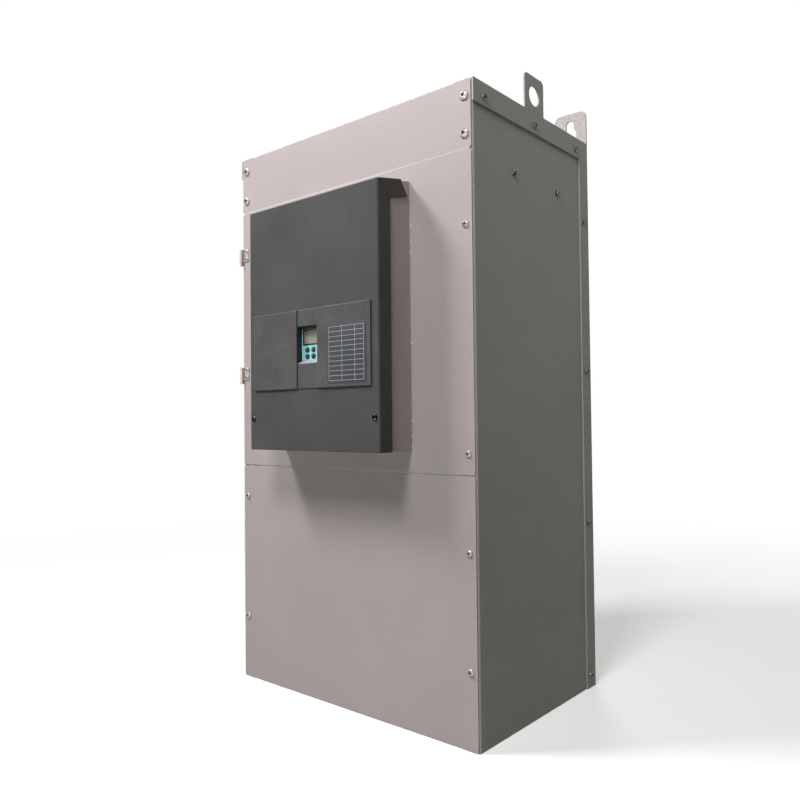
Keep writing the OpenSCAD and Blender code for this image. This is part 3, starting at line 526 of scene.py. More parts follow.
@dataclass(frozen=True)
class SolderMask(Finish):
    """Green lacquer on a glass-fibre board: pale copper tracks under it and bright soldered dots."""

    track: str = "#2f7a4a"
    dot: str = "#b9b8a4"
    cell_mm: float = 15.24
    pitch_mm: float = 2.54
    track_half: float = 0.2
    dot_r: float = 0.26
    row_half: float = 0.5
    row_step: float = 1.5
    upright_share: float = 0.5
    bare_share: float = 0.4
    relief_mm: float = 0.06
    ior: float = 1.55

    def wire(self, tree: NodeTree, coords: NodeSocket) -> dict:
        """Wires straight tracks and rows of soldered dots on the board's plane.

        Args:
            tree: node tree of the material.
            coords: object coordinates.

        Returns:
            What the shader's inputs get.
        """
        split = add_node(tree, "SeparateXYZ", {0: coords})
        across, up = split.outputs["X"], split.outputs["Z"]
        flat = add_node(tree, "CombineXYZ", {0: across, 1: up})
        # Square fields, each with its own run of tracks and its own choice of dots, and the dots' own grid
        squares = []
        for size in (self.cell_mm, self.pitch_mm):
            even = {"Vector": flat, "Scale": per_metre(size), "Randomness": 0.0}
            squares.append(add_node(tree, "TexVoronoi", even, voronoi_dimensions="2D"))
        fields, points = squares
        chance = add_node(tree, "SeparateXYZ", {0: fields.outputs["Color"]})
        turn, pick = chance.outputs["X"], chance.outputs["Y"]
        pitch = self.pitch_mm * MM
        runs = []
        for side in (across, up):
            wave = add_node(tree, "Math", {0: side, 1: pitch / 2}, operation="PINGPONG")
            runs.append(add_node(tree, "Math", {0: wave, 1: pitch * self.track_half}, operation="LESS_THAN"))
        upright = add_node(tree, "Math", {0: turn, 1: self.upright_share}, operation="GREATER_THAN")
        tracks = add_node(tree, "Mix", {"Factor": upright, "A": runs[0], "B": runs[1]})
        lacquer = add_node(tree, "Mix", {SHARE: tracks, FROM: self.colour, TO: self.track}, data_type="RGBA")
        ring = add_node(tree, "Math", {0: points, 1: self.dot_r}, operation="LESS_THAN")
        row = add_node(tree, "Math", {0: up, 1: pitch * self.row_step}, operation="PINGPONG")
        in_row = add_node(tree, "Math", {0: row, 1: pitch * self.row_half}, operation="LESS_THAN")
        chosen = add_node(tree, "Math", {0: pick, 1: self.bare_share}, operation="GREATER_THAN")
        rows = add_node(tree, "Math", {0: in_row, 1: chosen}, operation="MULTIPLY")
        dots = add_node(tree, "Math", {0: ring, 1: rows}, operation="MULTIPLY")
        face = add_node(tree, "Mix", {SHARE: dots, FROM: lacquer, TO: self.dot}, data_type="RGBA")
        height = add_node(tree, "Math", {0: tracks, 1: dots}, operation="ADD")
        bump = add_node(tree, "Bump", {"Height": height, "Distance": self.relief_mm * MM})
        return {"Base Color": face, "Normal": bump, "Roughness": self.roughness, "IOR": self.ior}


@dataclass(frozen=True)
class DisplayGlass(Finish):
    """Reflective liquid-crystal glass: a grey-green ground with a faint grid of cells under a glossy pane."""

    cell: str = "#000000"
    cell_mm: float = 0.55
    gap_share: float = 0.05
    pane_weight: float = 0.6
    pane_roughness: float = 0.06
    ior: float = 1.52

    def wire(self, tree: NodeTree, coords: NodeSocket) -> dict:
        """Wires the grid of cells and the glossy pane.

        Args:
            tree: node tree of the material.
            coords: object coordinates.

        Returns:
            What the shader's inputs get.
        """
        split = add_node(tree, "SeparateXYZ", {0: coords})
        flat = add_node(tree, "CombineXYZ", {0: split.outputs["X"], 1: split.outputs["Z"]})
        square = {"Brick Width": 1.0, "Row Height": 1.0, "Mortar Size": self.gap_share}
        colours = {"Color1": self.colour, "Color2": self.colour, "Mortar": self.cell}
        cells = {"Vector": flat, "Scale": per_metre(self.cell_mm)} | square | colours
        grid = add_node(tree, "TexBrick", cells, offset=0.0)
        pane = {"Coat Weight": self.pane_weight, "Coat Roughness": self.pane_roughness}
        return {"Base Color": grid, "Roughness": self.roughness, "IOR": self.ior} | pane


# Polyester powder in a warm light grey, on the casing's outer sheets; its paler edge colour is a painted
# highlight
GREY_COAT = PowderCoat("grey_powder_coat", "#c4bcb8", 0.52, "#b9b1ad", grit="#9c9490", edge="#d2cfcb")
# The same grey in a rougher powder, on the sides, darker along its edges: painted shade along the edges
SIDE_COAT = PowderCoat(
    "grey_structure_coat", "#c9c4bf", 0.55, "#beb9b4", grit="#8d8881", grit_mm=1.8, peel_depth_mm=0.19,
    edge="#8b8780", edge_mm=0.9, painted_edge_share=0.6,
)
# That powder on the rear frame, paler along its edges: a painted highlight along the edges
REAR_COAT = replace(SIDE_COAT, name="grey_frame_coat", edge="#dad9d4", painted_edge_share=0.5, peel_depth_mm=0.09)
# The same kind of powder in a dark slate grey, on the folded cover; its paler edge colour is a painted
# highlight along the bend and edges
DARK_COAT = PowderCoat(
    "slate_powder_coat", "#606261", 0.5, "#565857", cloud_mm=90.0, grit="#3e4140", grit_share=0.45,
    edge="#8b8e8d", edge_mm=1.5, shine=0.05,
)
# Weld tacks in near white, a painted highlight on them
WELD_TACK_HIGHLIGHT = PowderCoat(
    "weld_tack_painted_highlight", "#f4f1ee", 0.25, "#ebe7e4", cloud_mm=6.0, grit="#dfdad7", grit_mm=0.6, edge="#f6f4f2"
)
# Black lacquer on the finger guards; its paler edge colour is a painted highlight
GUARD_COAT = PowderCoat(
    "black_guard_coat", "#2a2b2d", 0.42, "#222325", cloud_mm=30.0, grit="#1c1d1f",
    edge="#47494c", painted_edge_share=0.25,
)
# Zinc-coated steel sheet inside the casing, with soft spangles
ZINC_SHEET = BareMetal("zinc_coated_sheet", "#b9bcbb", 0.45, "#9b9f9f", (0.8, 0.8, 12.0), 9.0)
# Bright zinc on inner screws, bolts and spacers, turned and tumbled
BRIGHT_ZINC = BareMetal("bright_zinc", "#dfdfdd", 0.3, "#b5b3ae", patch_mm=2.5, patch_share=0.5)
# Zinc of the side screws, with dark patches over most of each head: painted shade standing in for dark
# reflections
ZINC_WITH_PAINTED_SHADE = BareMetal("zinc_with_painted_shade", "#a6a39e", 0.25, "#1d1b19", patch_mm=2.0, patch_share=1.4)
# Zinc-plated hinge steel, dulled to a warm grey
HINGE_ZINC = BareMetal("hinge_zinc", "#cfc9c3", 0.36, "#a59e97", (0.4, 0.4, 6.0), 3.0)
# Satin nickel of the button heads, the panel screws and the hinge screws; its brownish dull patches are
# partly real dullness and partly painted shade
SATIN_NICKEL = BareMetal("satin_nickel", "#c9c1be", 0.33, "#746c69", patch_mm=3.0, patch_share=0.8)
# Darker brown at the bottom of a zinc screw's drive: painted shade in the recess
RECESS_SHADE = BareMetal("recess_painted_shade", "#7d716b", 0.5, "#4a403c", patch_mm=1.5)
# Blackened steel of the cover's screws; the bright ground between its black patches is a painted glint
BLACK_OXIDE = BareMetal("black_oxide", "#a4a6aa", 0.28, "#0b0c0d", patch_mm=2.4, patch_share=1.7)
# The same blackened steel at the bottom of their drives, without the painted glint
BLACK_RECESS = BareMetal("black_recess", "#1a1b1c", 0.5, "#0b0c0d", patch_mm=1.5)
# Extruded aluminium with drawing lines along its length
EXTRUDED_ALUMINIUM = BareMetal("extruded_aluminium", "#c9cbcc", 0.38, "#aeb0b2", (0.5, 0.5, 40.0), 30.0)
# Rolled copper bar, pinkish where bright and browner where it has been handled
COPPER = BareMetal("rolled_copper", "#d08a5c", 0.36, "#a5623c", (0.5, 0.5, 25.0), 26.0, 0.8)
# Etched aluminium of the capacitors' tops
CAN_TOP = BareMetal("etched_aluminium", "#cfd0d0", 0.4, "#b4b6b6", (0.5, 0.5, 0.5), 4.0)
# Tinned copper of pins and legs
TINNED = BareMetal("tinned_copper", "#cfcdc6", 0.32, "#aaa8a1", patch_mm=2.0)
# Stacked transformer sheet, dark with fine seams
LAMINATED_STEEL = BareMetal("laminated_steel", "#6c6a68", 0.5, "#4a4846", (0.7, 30.0, 30.0), 12.0)
# Glass-filled nylon of the fans, dark and slightly satin
FAN_NYLON = Moulding("glass_filled_nylon", "#2b2d30", 0.45, "#222427", grain_mm=1.2)
# Epoxy moulding of the power modules, black and matt
EPOXY = Moulding("black_epoxy", "#242427", 0.5, "#1b1b1e", grain_mm=1.0)
# Fired steatite of the fuse bodies, chalky and off-white
STEATITE = Moulding("fired_steatite", "#dcd6c6", 0.6, "#cbc4b2", 18.0, grain_mm=1.6, ior=1.6)
# Polyester resin of the standoff insulators, brick red and half glossy
BRICK_RESIN = Moulding("brick_resin", "#84382b", 0.35, "#6f2d22", grain_mm=2.0)
# Cast resin of the current transformers, dull blue
BLUE_RESIN = Moulding("blue_cast_resin", "#34557f", 0.45, "#2a4669", grain_mm=1.5)
# Pale strip in the seam above the door: a painted highlight along the seam
SEAM_HIGHLIGHT = Moulding("pale_seam_highlight", "#dfd8d4", 0.7, "#d2cbc7", 15.0, grain_mm=1.2, edge_mm=0.1)
# Green solder mask on glass-fibre laminate
SOLDER_MASK = SolderMask("green_solder_mask", "#1f6a3d", 0.3)
# Polyamide of the plug-in terminals
GREEN_NYLON = Moulding("green_polyamide", "#3f8a52", 0.42, "#347345", grain_mm=0.9)
# Textured moulding of the fascia band, warm dark grey; its pale edge colour is a painted highlight along its
# edges
BAND_PLASTIC = Moulding(
    "dark_band_moulding", "#565353", 0.46, "#333131", 60.0,
    edge="#c4c3c4", edge_mm=1.2, painted_edge_share=0.35, grain_mm=1.3,
)
# Moulded keypad body in a soft teal
TEAL_ABS = Moulding("teal_abs", "#a2eaee", 0.45, "#92dde2", grain_mm=0.7)
# Pale lilac on the window's sloping sill: a painted highlight where the sill faces the light above
SILL_HIGHLIGHT = Moulding("painted_sill_highlight", "#bcbac8", 0.3, "#aeacbb", grain_mm=0.9)
# Silicone rubber of the keys, almost black
KEY_RUBBER = Moulding("key_rubber", "#11191a", 0.62, "#0c1213", grain_mm=0.6, ior=1.42)
# Twisted-nematic display under its pane
DISPLAY = DisplayGlass("display_glass", "#a5aa94", 0.12, "#979c86")
# Black on the window's walls and along the band's step: painted shade where the recess lies in shadow
WINDOW_SHADE = Moulding("painted_window_shade", "#141516", 0.8, "#0d0e0f", grain_mm=0.8)
# Black printed rim round the display
RIM_PRINT = Moulding("display_rim", "#1d2022", 0.35, "#151719", grain_mm=0.5)
# Satin film of the blank rating plate
PLATE_FILM = Moulding("plate_film", "#363c40", 0.38, "#2f3539", 25.0, grain_mm=0.6)
# Pale screen print on the plate
PALE_PRINT = Moulding("pale_print", "#d8d9dc", 0.5, "#c9cbcf", grain_mm=0.6)
# Dim grey screen print of the other keys
DIM_PRINT = Moulding("dim_print", "#565d5f", 0.5, "#4c5355", grain_mm=0.6)
# Red screen print of the stop key
RED_PRINT = Moulding("red_print", "#6a2622", 0.5, "#5c201c", grain_mm=0.6)
# Green screen print of the start key
GREEN_PRINT = Moulding("green_print", "#2b5c34", 0.5, "#244f2c", grain_mm=0.6)
# White nylon of plug housings
WHITE_NYLON = Moulding("white_nylon", "#d9d6cb", 0.45, "#c8c5b9", grain_mm=0.9)
# Polyester tape on the transformers' windings
YELLOW_TAPE = Moulding("yellow_tape", "#d9b23c", 0.4, "#c79f2f", grain_mm=1.4)
# Sintered ferrite of the pulse transformers
FERRITE = Moulding("sintered_ferrite", "#3c3d41", 0.6, "#313236", grain_mm=1.0)
# Shrunk sleeve of the capacitors
SLEEVE = Moulding("blue_sleeve", "#27406e", 0.35, "#1f355e", grain_mm=1.6)

CAD_FINISHES: dict[Finish, tuple[str, ...]] = {
    SIDE_COAT: ("side_panel_right", "side_panel_left", "lifting_bracket_right", "lifting_bracket_left"),
    REAR_COAT: ("rear_frame",),
    GREY_COAT: ("roof_plate", "top_front_plate", "lower_cover", "door_panel", "control_box"),
    DARK_COAT: ("control_cover",),
    ZINC_SHEET: (
        "bottom_plate", "front_rails", "fan_shelf", "heat_sink_rails", "terminal_rail", "board_carrier",
    ),
    BRIGHT_ZINC: ("carrier_standoffs",),
    HINGE_ZINC: ("hinge_frame_leaves", "hinge_pins", "hinge_door_leaves"),
    GUARD_COAT: ("fan_guards",),
    FAN_NYLON: (
        *(f"fan_{kind}_{side}" for kind in ("housing", "wheel") for side in ("left", "right")),
        "keypad_carrier",
    ),
    EXTRUDED_ALUMINIUM: ("heat_sink",),
    EPOXY: ("forward_modules", "reverse_modules"),
    COPPER: (
        *(f"ac_{kind}_{i}" for kind in ("busbar", "terminal") for i in (1, 2, 3)),
        "dc_busbar_positive", "dc_busbar_negative", "busbar_spacers",
    ),
    BRICK_RESIN: ("busbar_insulators",),
    BLUE_RESIN: ("current_transformers",),
    BAND_PLASTIC: ("fascia_band",),
    TEAL_ABS: ("keypad_housing",),
    DISPLAY: ("keypad_display",),
}


def dress_cad_nodes() -> None:
    """Gives every CAD node that stays in view its finish."""
    for finish, names in CAD_FINISHES.items():
        for name in names:
            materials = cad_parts[name].data.materials
            materials.clear()
            materials.append(finish.build())
            LOG.info("%s wears %s", name, finish.name)


# Stage


@dataclass(frozen=True)
class Lamp:
    """A square soft lamp: its place and side in metres, its power in watts and its colour."""

    name: str
    place: Point
    side: float
    power: float
    colour: str

    def hang(self, aim: Point) -> None:
        """Hangs the lamp so that it looks at a point.

        Args:
            aim: the point, in metres.
        """
        light = bpy.data.lights.new(self.name, "AREA")
        light.shape = "SQUARE"
        light.size = self.side
        light.energy = self.power
        light.color = linear(self.colour)[:3]
        lamp = bpy.data.objects.new(self.name, light)
        lamp.location = self.place
        lamp.rotation_euler = (Vector(aim) - Vector(self.place)).to_track_quat("-Z", "Y").to_euler()
        bpy.context.scene.collection.objects.link(lamp)


@dataclass
class Studio:
    """Pale floor, white surroundings, soft lamps and the photograph's camera, in metres and radians."""

    floor_half: float = 7.0
    floor_colour: str = "#f2f1ef"
    floor_glow: float = 0.34
    fade_from: float = 0.55
    fade_to: float = 1.9
    bounce_colour: str = "#4c514b"
    ambient: float = 0.012
    ambient_colour: str = "#f2f6f0"
    camera_place: Point = (0.68023, -0.7961, 0.37149)
    yaw: float = -0.705671
    pitch: float = 0.025454
    roll: float = -0.010068
    focal_px: float = 742.863
    image_px: float = 800.0
    sensor_mm: float = 36.0
    near_clip: float = 0.02
    aim: Point = (0.0, -0.1, 0.45)
    lamps: tuple[Lamp, ...] = (
        Lamp("key_lamp", (-0.9, -1.0, 1.95), 0.45, 29.8, "#fffafd"),
        Lamp("upper_lamp", (0.45, -1.4, 2.0), 0.55, 23.8, "#fffafd"),
        Lamp("low_lamp", (0.2, -1.9, 0.15), 0.6, 7.8, "#fffdfe"),
        Lamp("side_lamp", (1.0, 0.3, 1.9), 0.5, 3.0, "#e6ffed"),
        Lamp("rear_lamp", (-1.3, 2.3, 1.9), 1.0, 26.0, WHITE),
    )

    def build(self) -> None:
        """Sets up the whole stage."""
        self.place_camera()
        self.lay_floor()
        self.fill_world()
        for lamp in self.lamps:
            lamp.hang(self.aim)
        bpy.context.scene.view_settings.view_transform = "Standard"

    def place_camera(self) -> None:
        """Puts the camera where the photograph was taken from."""
        flat = math.cos(self.pitch)
        ahead = Vector((math.sin(self.yaw) * flat, math.cos(self.yaw) * flat, math.sin(self.pitch)))
        level = Vector((math.cos(self.yaw), -math.sin(self.yaw), 0.0))
        above = level.cross(ahead)
        right = math.cos(self.roll) * level + math.sin(self.roll) * above
        up = math.cos(self.roll) * above - math.sin(self.roll) * level
        turn = Matrix((right, up, -ahead)).transposed().to_4x4()
        lens = bpy.data.cameras.new("photo_camera")
        lens.sensor_width = self.sensor_mm
        lens.lens = self.focal_px / self.image_px * self.sensor_mm
        lens.clip_start = self.near_clip
        camera = bpy.data.objects.new("photo_camera", lens)
        camera.matrix_world = Matrix.Translation(self.camera_place) @ turn
        bpy.context.scene.collection.objects.link(camera)
        bpy.context.scene.camera = camera

    def lay_floor(self) -> None:
        """Lays a wide pale floor that keeps the object's shadow and fades to white."""
        bm = bmesh.new()
        bmesh.ops.create_grid(bm, x_segments=2, y_segments=2, size=self.floor_half)
        mesh = bpy.data.meshes.new("floor")
        bm.to_mesh(mesh)
        bm.free()
        made = bpy.data.materials.new("pale_floor")
        made.use_nodes = True
        tree = made.node_tree
        tree.nodes.remove(tree.nodes["Principled BSDF"])
        coords = add_node(tree, "TexCoord").outputs["Object"]
        reach = add_node(tree, "VectorMath", {0: coords}, operation="LENGTH")
        fade = {"Value": reach, "From Min": self.fade_from, "From Max": self.fade_to}
        far = add_node(tree, "MapRange", fade, interpolation_type="SMOOTHSTEP")
        seen = self.background_rays(tree)
        dim = add_node(tree, "BsdfDiffuse", {"Color": self.bounce_colour})
        pale = add_node(tree, "BsdfDiffuse", {"Color": self.floor_colour})
        glow = add_node(tree, "Emission", {"Color": WHITE, "Strength": self.floor_glow})
        lit = add_node(tree, "AddShader", {0: pale, 1: glow})
        near = add_node(tree, "MixShader", {0: seen, 1: dim, 2: lit})
        white = add_node(tree, "Emission", {"Color": WHITE, "Strength": 1.0})
        far_seen = add_node(tree, "Math", {0: far, 1: seen}, operation="MULTIPLY")
        mix = add_node(tree, "MixShader", {0: far_seen, 1: near, 2: white})
        plug(tree, tree.nodes["Material Output"], {"Surface": mix})
        mesh.materials.append(made)
        floor = bpy.data.objects.new("floor", mesh)
        bpy.context.scene.collection.objects.link(floor)

    @staticmethod
    def background_rays(tree: NodeTree) -> Node:
        """Adds what gives one for the rays that see the background.

        Args:
            tree: node tree of the floor or the world.

        Returns:
            The node that gives it.
        """
        path = add_node(tree, "LightPath")
        seen = path.outputs["Is Camera Ray"]
        for kind in ("Is Glossy Ray", "Is Transmission Ray"):
            seen = add_node(tree, "Math", {0: seen, 1: path.outputs[kind]}, operation="MAXIMUM")
        return seen

    def fill_world(self) -> None:
        """Makes the surroundings white to the eye and dimmer as a light."""
        world = bpy.data.worlds.new("studio_world")
        world.use_nodes = True
        bpy.context.scene.world = world
        tree = world.node_tree
        tree.nodes.remove(tree.nodes["Background"])
        soft = add_node(tree, "Background", {"Color": self.ambient_colour, "Strength": self.ambient})
        white = add_node(tree, "Background", {"Color": WHITE, "Strength": 1.0})
        mix = add_node(tree, "MixShader", {0: self.background_rays(tree), 1: soft, 2: white})
        plug(tree, tree.nodes["World Output"], {"Surface": mix})


# Fasteners


class Recess(Enum):
    """Drive in the top of a screw's head."""

    HEXAGON = "hexagon"
    CROSS = "cross"


@dataclass(frozen=True)
class ScrewKind:
    """One kind of screw with a domed head, in millimetres and in shares of its head."""

    head_r: float
    head_h: float
    recess: Recess
    rim_h: float = 0.7
    steps: int = 36
    chamfer: float = 0.15
    dome: tuple[float, ...] = (0.0, 0.35, 0.65, 0.9)
    dome_power: float = 0.9
    flat_share: float = 0.62
    hexagon_share: float = 0.41
    arm_share: float = 0.6
    slot_share: float = 0.19
    mouth_limit: float = 0.98
    sunk_share: float = 0.45

    def outline(self, angle: float) -> float:
        """Returns the recess's radius at an angle.

        Args:
            angle: direction from the screw's middle, in radians.

        Returns:
            The radius in millimetres.
        """
        if self.recess is Recess.HEXAGON:
            half = math.pi / 6
            turned = abs((angle + half) % (2 * half) - half)
            return self.head_r * self.hexagon_share * math.cos(half) / math.cos(turned - half)
        c, s = (max(abs(f(angle)), TINY) for f in (math.cos, math.sin))
        arm, slot = self.head_r * self.arm_share, self.head_r * self.slot_share
        return max(min(arm / c, slot / s), min(slot / c, arm / s))

    def add(self, bm: BMesh, place: Matrix) -> None:
        """Adds one screw head with its washer face at the place's origin.

        Args:
            bm: bmesh that takes the screw.
            place: where its seat is, with its own z along the screw.
        """
        before = set(bm.verts)
        r, rise, inner = self.head_r, self.head_h - self.rim_h, self.head_r * self.flat_share
        dome = [(r * math.cos(t) ** self.dome_power, self.rim_h + rise * math.sin(t)) for t in self.dome]
        foot = [(0.0, 0.0), (r - self.chamfer, 0.0), (r, self.chamfer)]
        add_turned(bm, foot + dome + [(inner, self.head_h)], Matrix.Identity(4), self.steps)
        rim = [e for e in bm.edges if e.is_boundary and e.verts[0] not in before]
        mouth, lip = self.extrude(bm, rim)
        for v in mouth:
            angle = math.atan2(v.co.y, v.co.x)
            reach = min(self.outline(angle), inner * self.mouth_limit)
            v.co.x, v.co.y = reach * MM * math.cos(angle), reach * MM * math.sin(angle)
        deep, ring = self.extrude(bm, lip)
        bmesh.ops.translate(bm, vec=(0.0, 0.0, -self.head_h * self.sunk_share * MM), verts=deep)
        bmesh.ops.edgeloop_fill(bm, edges=ring)
        # The drive's walls and floor take the second finish, which on zinc screws is painted shade
        for face in {f for v in deep for f in v.link_faces}:
            face.material_index = 1
        set_in_place(bm, before, place)

    @staticmethod
    def extrude(bm: BMesh, edges: list[BMEdge]) -> tuple[list[BMVert], list[BMEdge]]:
        """Extrudes a ring of edges.

        Args:
            bm: bmesh that holds the ring.
            edges: the ring.

        Returns:
            The new ring's vertices and edges, which still lie on the old ones.
        """
        made = bmesh.ops.extrude_edge_only(bm, edges=edges)["geom"]
        verts = [v for v in made if isinstance(v, BMVert)]
        return verts, [e for e in made if isinstance(e, BMEdge) and all(v in verts for v in e.verts)]


def make_screws(
    name: str, finish: Finish, body: str, heads: dict[ScrewKind, list[Matrix]], stands_for: Iterable[str] = ()
) -> None:
    """Makes one piece of screws that share a finish.

    Args:
        name: name of the piece.
        finish: their surface.
        body: body that they move with.
        heads: each kind of screw and where its screws sit.
        stands_for: CAD nodes that they replace.
    """
    bm = bmesh.new()
    for kind, places in heads.items():
        for place in places:
            kind.add(bm, place)
    # The drive's faces take the second finish: painted shade on zinc screws, the plain blackened steel on
    # black ones
    slot, recess = ("black_screw", BLACK_RECESS) if finish is BLACK_OXIDE else ("zinc_screw", RECESS_SHADE)
    finish_piece(name, bm, finish, body, stands_for, recess)


@dataclass
class Fasteners:
    """Every screw that shows on the outside, in the places that the CAD model has them, in millimetres."""

    front_y: float = -110.9
    cover_y: float = -169.9
    half: float = 209.0
    side_x: float = 207.0
    screw_x: float = 196.5
    top_z: Span = (738.5, 695.0)
    right_z: Span = (88.0, 220.0)
    left_z: Span = (88.0, 262.0)
    door_z: Span = (331.2, 591.3)
    leaf_x: float = -196.6
    leaf_z: tuple[float, ...] = (434.7, 445.7, 609.3, 620.3)
    leaf_t: float = 1.2
    frame_leaf_y: float = -96.5
    frame_leaf_drop: float = 2.7
    cover_x: float = 109.0
    cover_z: float = 373.9
    strip_y: Point = (-88.9, 24.94, 135.8)
    strip_z: float = 740.8
    rear_y: float = 156.5
    rear_z: tuple[float, ...] = (18.0, 226.67, 435.33, 644.0)
    shelf_y: Span = (-22.9, 84.4)
    shelf_z: float = 668.5
    plate_kind: ScrewKind = ScrewKind(5.8, 3.1, Recess.HEXAGON)
    panel_kind: ScrewKind = ScrewKind(4.2, 2.6, Recess.CROSS)
    side_kind: ScrewKind = ScrewKind(4.6, 2.4, Recess.CROSS)
    cover_kind: ScrewKind = ScrewKind(3.8, 2.4, Recess.CROSS)
    leaf_kind: ScrewKind = ScrewKind(2.6, 1.6, Recess.CROSS, rim_h=0.4)

    def build(self) -> None:
        """Makes each set of screws."""
        x, y = self.screw_x, self.front_y
        plate = {self.plate_kind: [at(s * x, y, z, FRONT) for s in SIDES for z in self.top_z]}
        make_screws("button_head_screws", SATIN_NICKEL, "cabinet", plate, ["top_plate_screws"])
        ends = ((x, self.right_z), (-x, self.left_z))
        low = {self.panel_kind: [at(end, y, z, FRONT) for end, heights in ends for z in heights]}
        make_screws("lower_panel_screws", SATIN_NICKEL, "cabinet", low, ["lower_cover_screws"])
        side = []
        for s, turn in zip(SIDES, (LEFT, RIGHT)):
            side += [at(s * self.half, p, self.strip_z, turn) for p in self.strip_y]
            side += [at(s * self.half, self.rear_y, z, turn) for z in self.rear_z]
            side += [at(s * self.side_x, p, self.shelf_z, turn) for p in self.shelf_y]
        # The side screws' dark patches are painted shade
        make_screws("side_panel_screws", ZINC_WITH_PAINTED_SHADE, "cabinet", {self.side_kind: side}, ["side_screws"])
        leaf_x, drop = -self.side_x - self.leaf_t, self.frame_leaf_drop
        fixed = {self.leaf_kind: [at(leaf_x, self.frame_leaf_y, z - drop, LEFT) for z in self.leaf_z]}
        make_screws("hinge_frame_screws", SATIN_NICKEL, "cabinet", fixed)
        door = {
            self.panel_kind: [at(x, y, z, FRONT) for z in self.door_z],
            self.leaf_kind: [at(self.leaf_x, y - self.leaf_t, z, FRONT) for z in self.leaf_z],
        }
        make_screws("door_and_hinge_screws", SATIN_NICKEL, "door", door, ["door_screws"])
        cover = {self.cover_kind: [at(s * self.cover_x, self.cover_y, self.cover_z, FRONT) for s in SIDES]}
        # The cover's screws: black heads whose bright spots are painted glints
        make_screws("dark_cover_screws", BLACK_OXIDE, "door", cover, ["cover_screws"])


# Trim of the casing: a painted highlight in the door's seam


@dataclass
class CasingTrim:
    """Thin pale strip in the seam above the door, a painted highlight along the seam, in millimetres."""

    seam_low: Point = (-203.0, -111.0, 676.35)
    seam_high: Point = (203.0, -109.4, 677.8)
    seam_edge: float = 0.08

    def build(self) -> None:
        """Makes the strip."""
        bm = bmesh.new()
        add_block(bm, self.seam_low, self.seam_high, self.seam_edge)
        # The pale strip paints a highlight along the seam
        finish_piece("door_seam_highlight", bm, SEAM_HIGHLIGHT, "cabinet")


# Control unit on the door

# Bars of the keys' signs, each by two corners from the key's middle, in millimetres
SIGN_BARS = {
    "on": [((-0.45, -1.6), (0.45, 1.6))],
    "enter": [((1.1, -0.3), (1.7, 1.4)), ((-0.9, -0.3), (1.7, 0.3))],
}
# Arrows of the keys' signs: shift to the right and size in millimetres, and direction in degrees
SIGN_ARROWS = {
    "jog": [(-1.05, 1.4, 0.0), (1.05, 1.4, 0.0)],
    "up": [(0.0, 1.8, 90.0)],
    "down": [(0.0, 1.8, -90.0)],
    "enter": [(-1.1, 1.1, 180.0)],
}


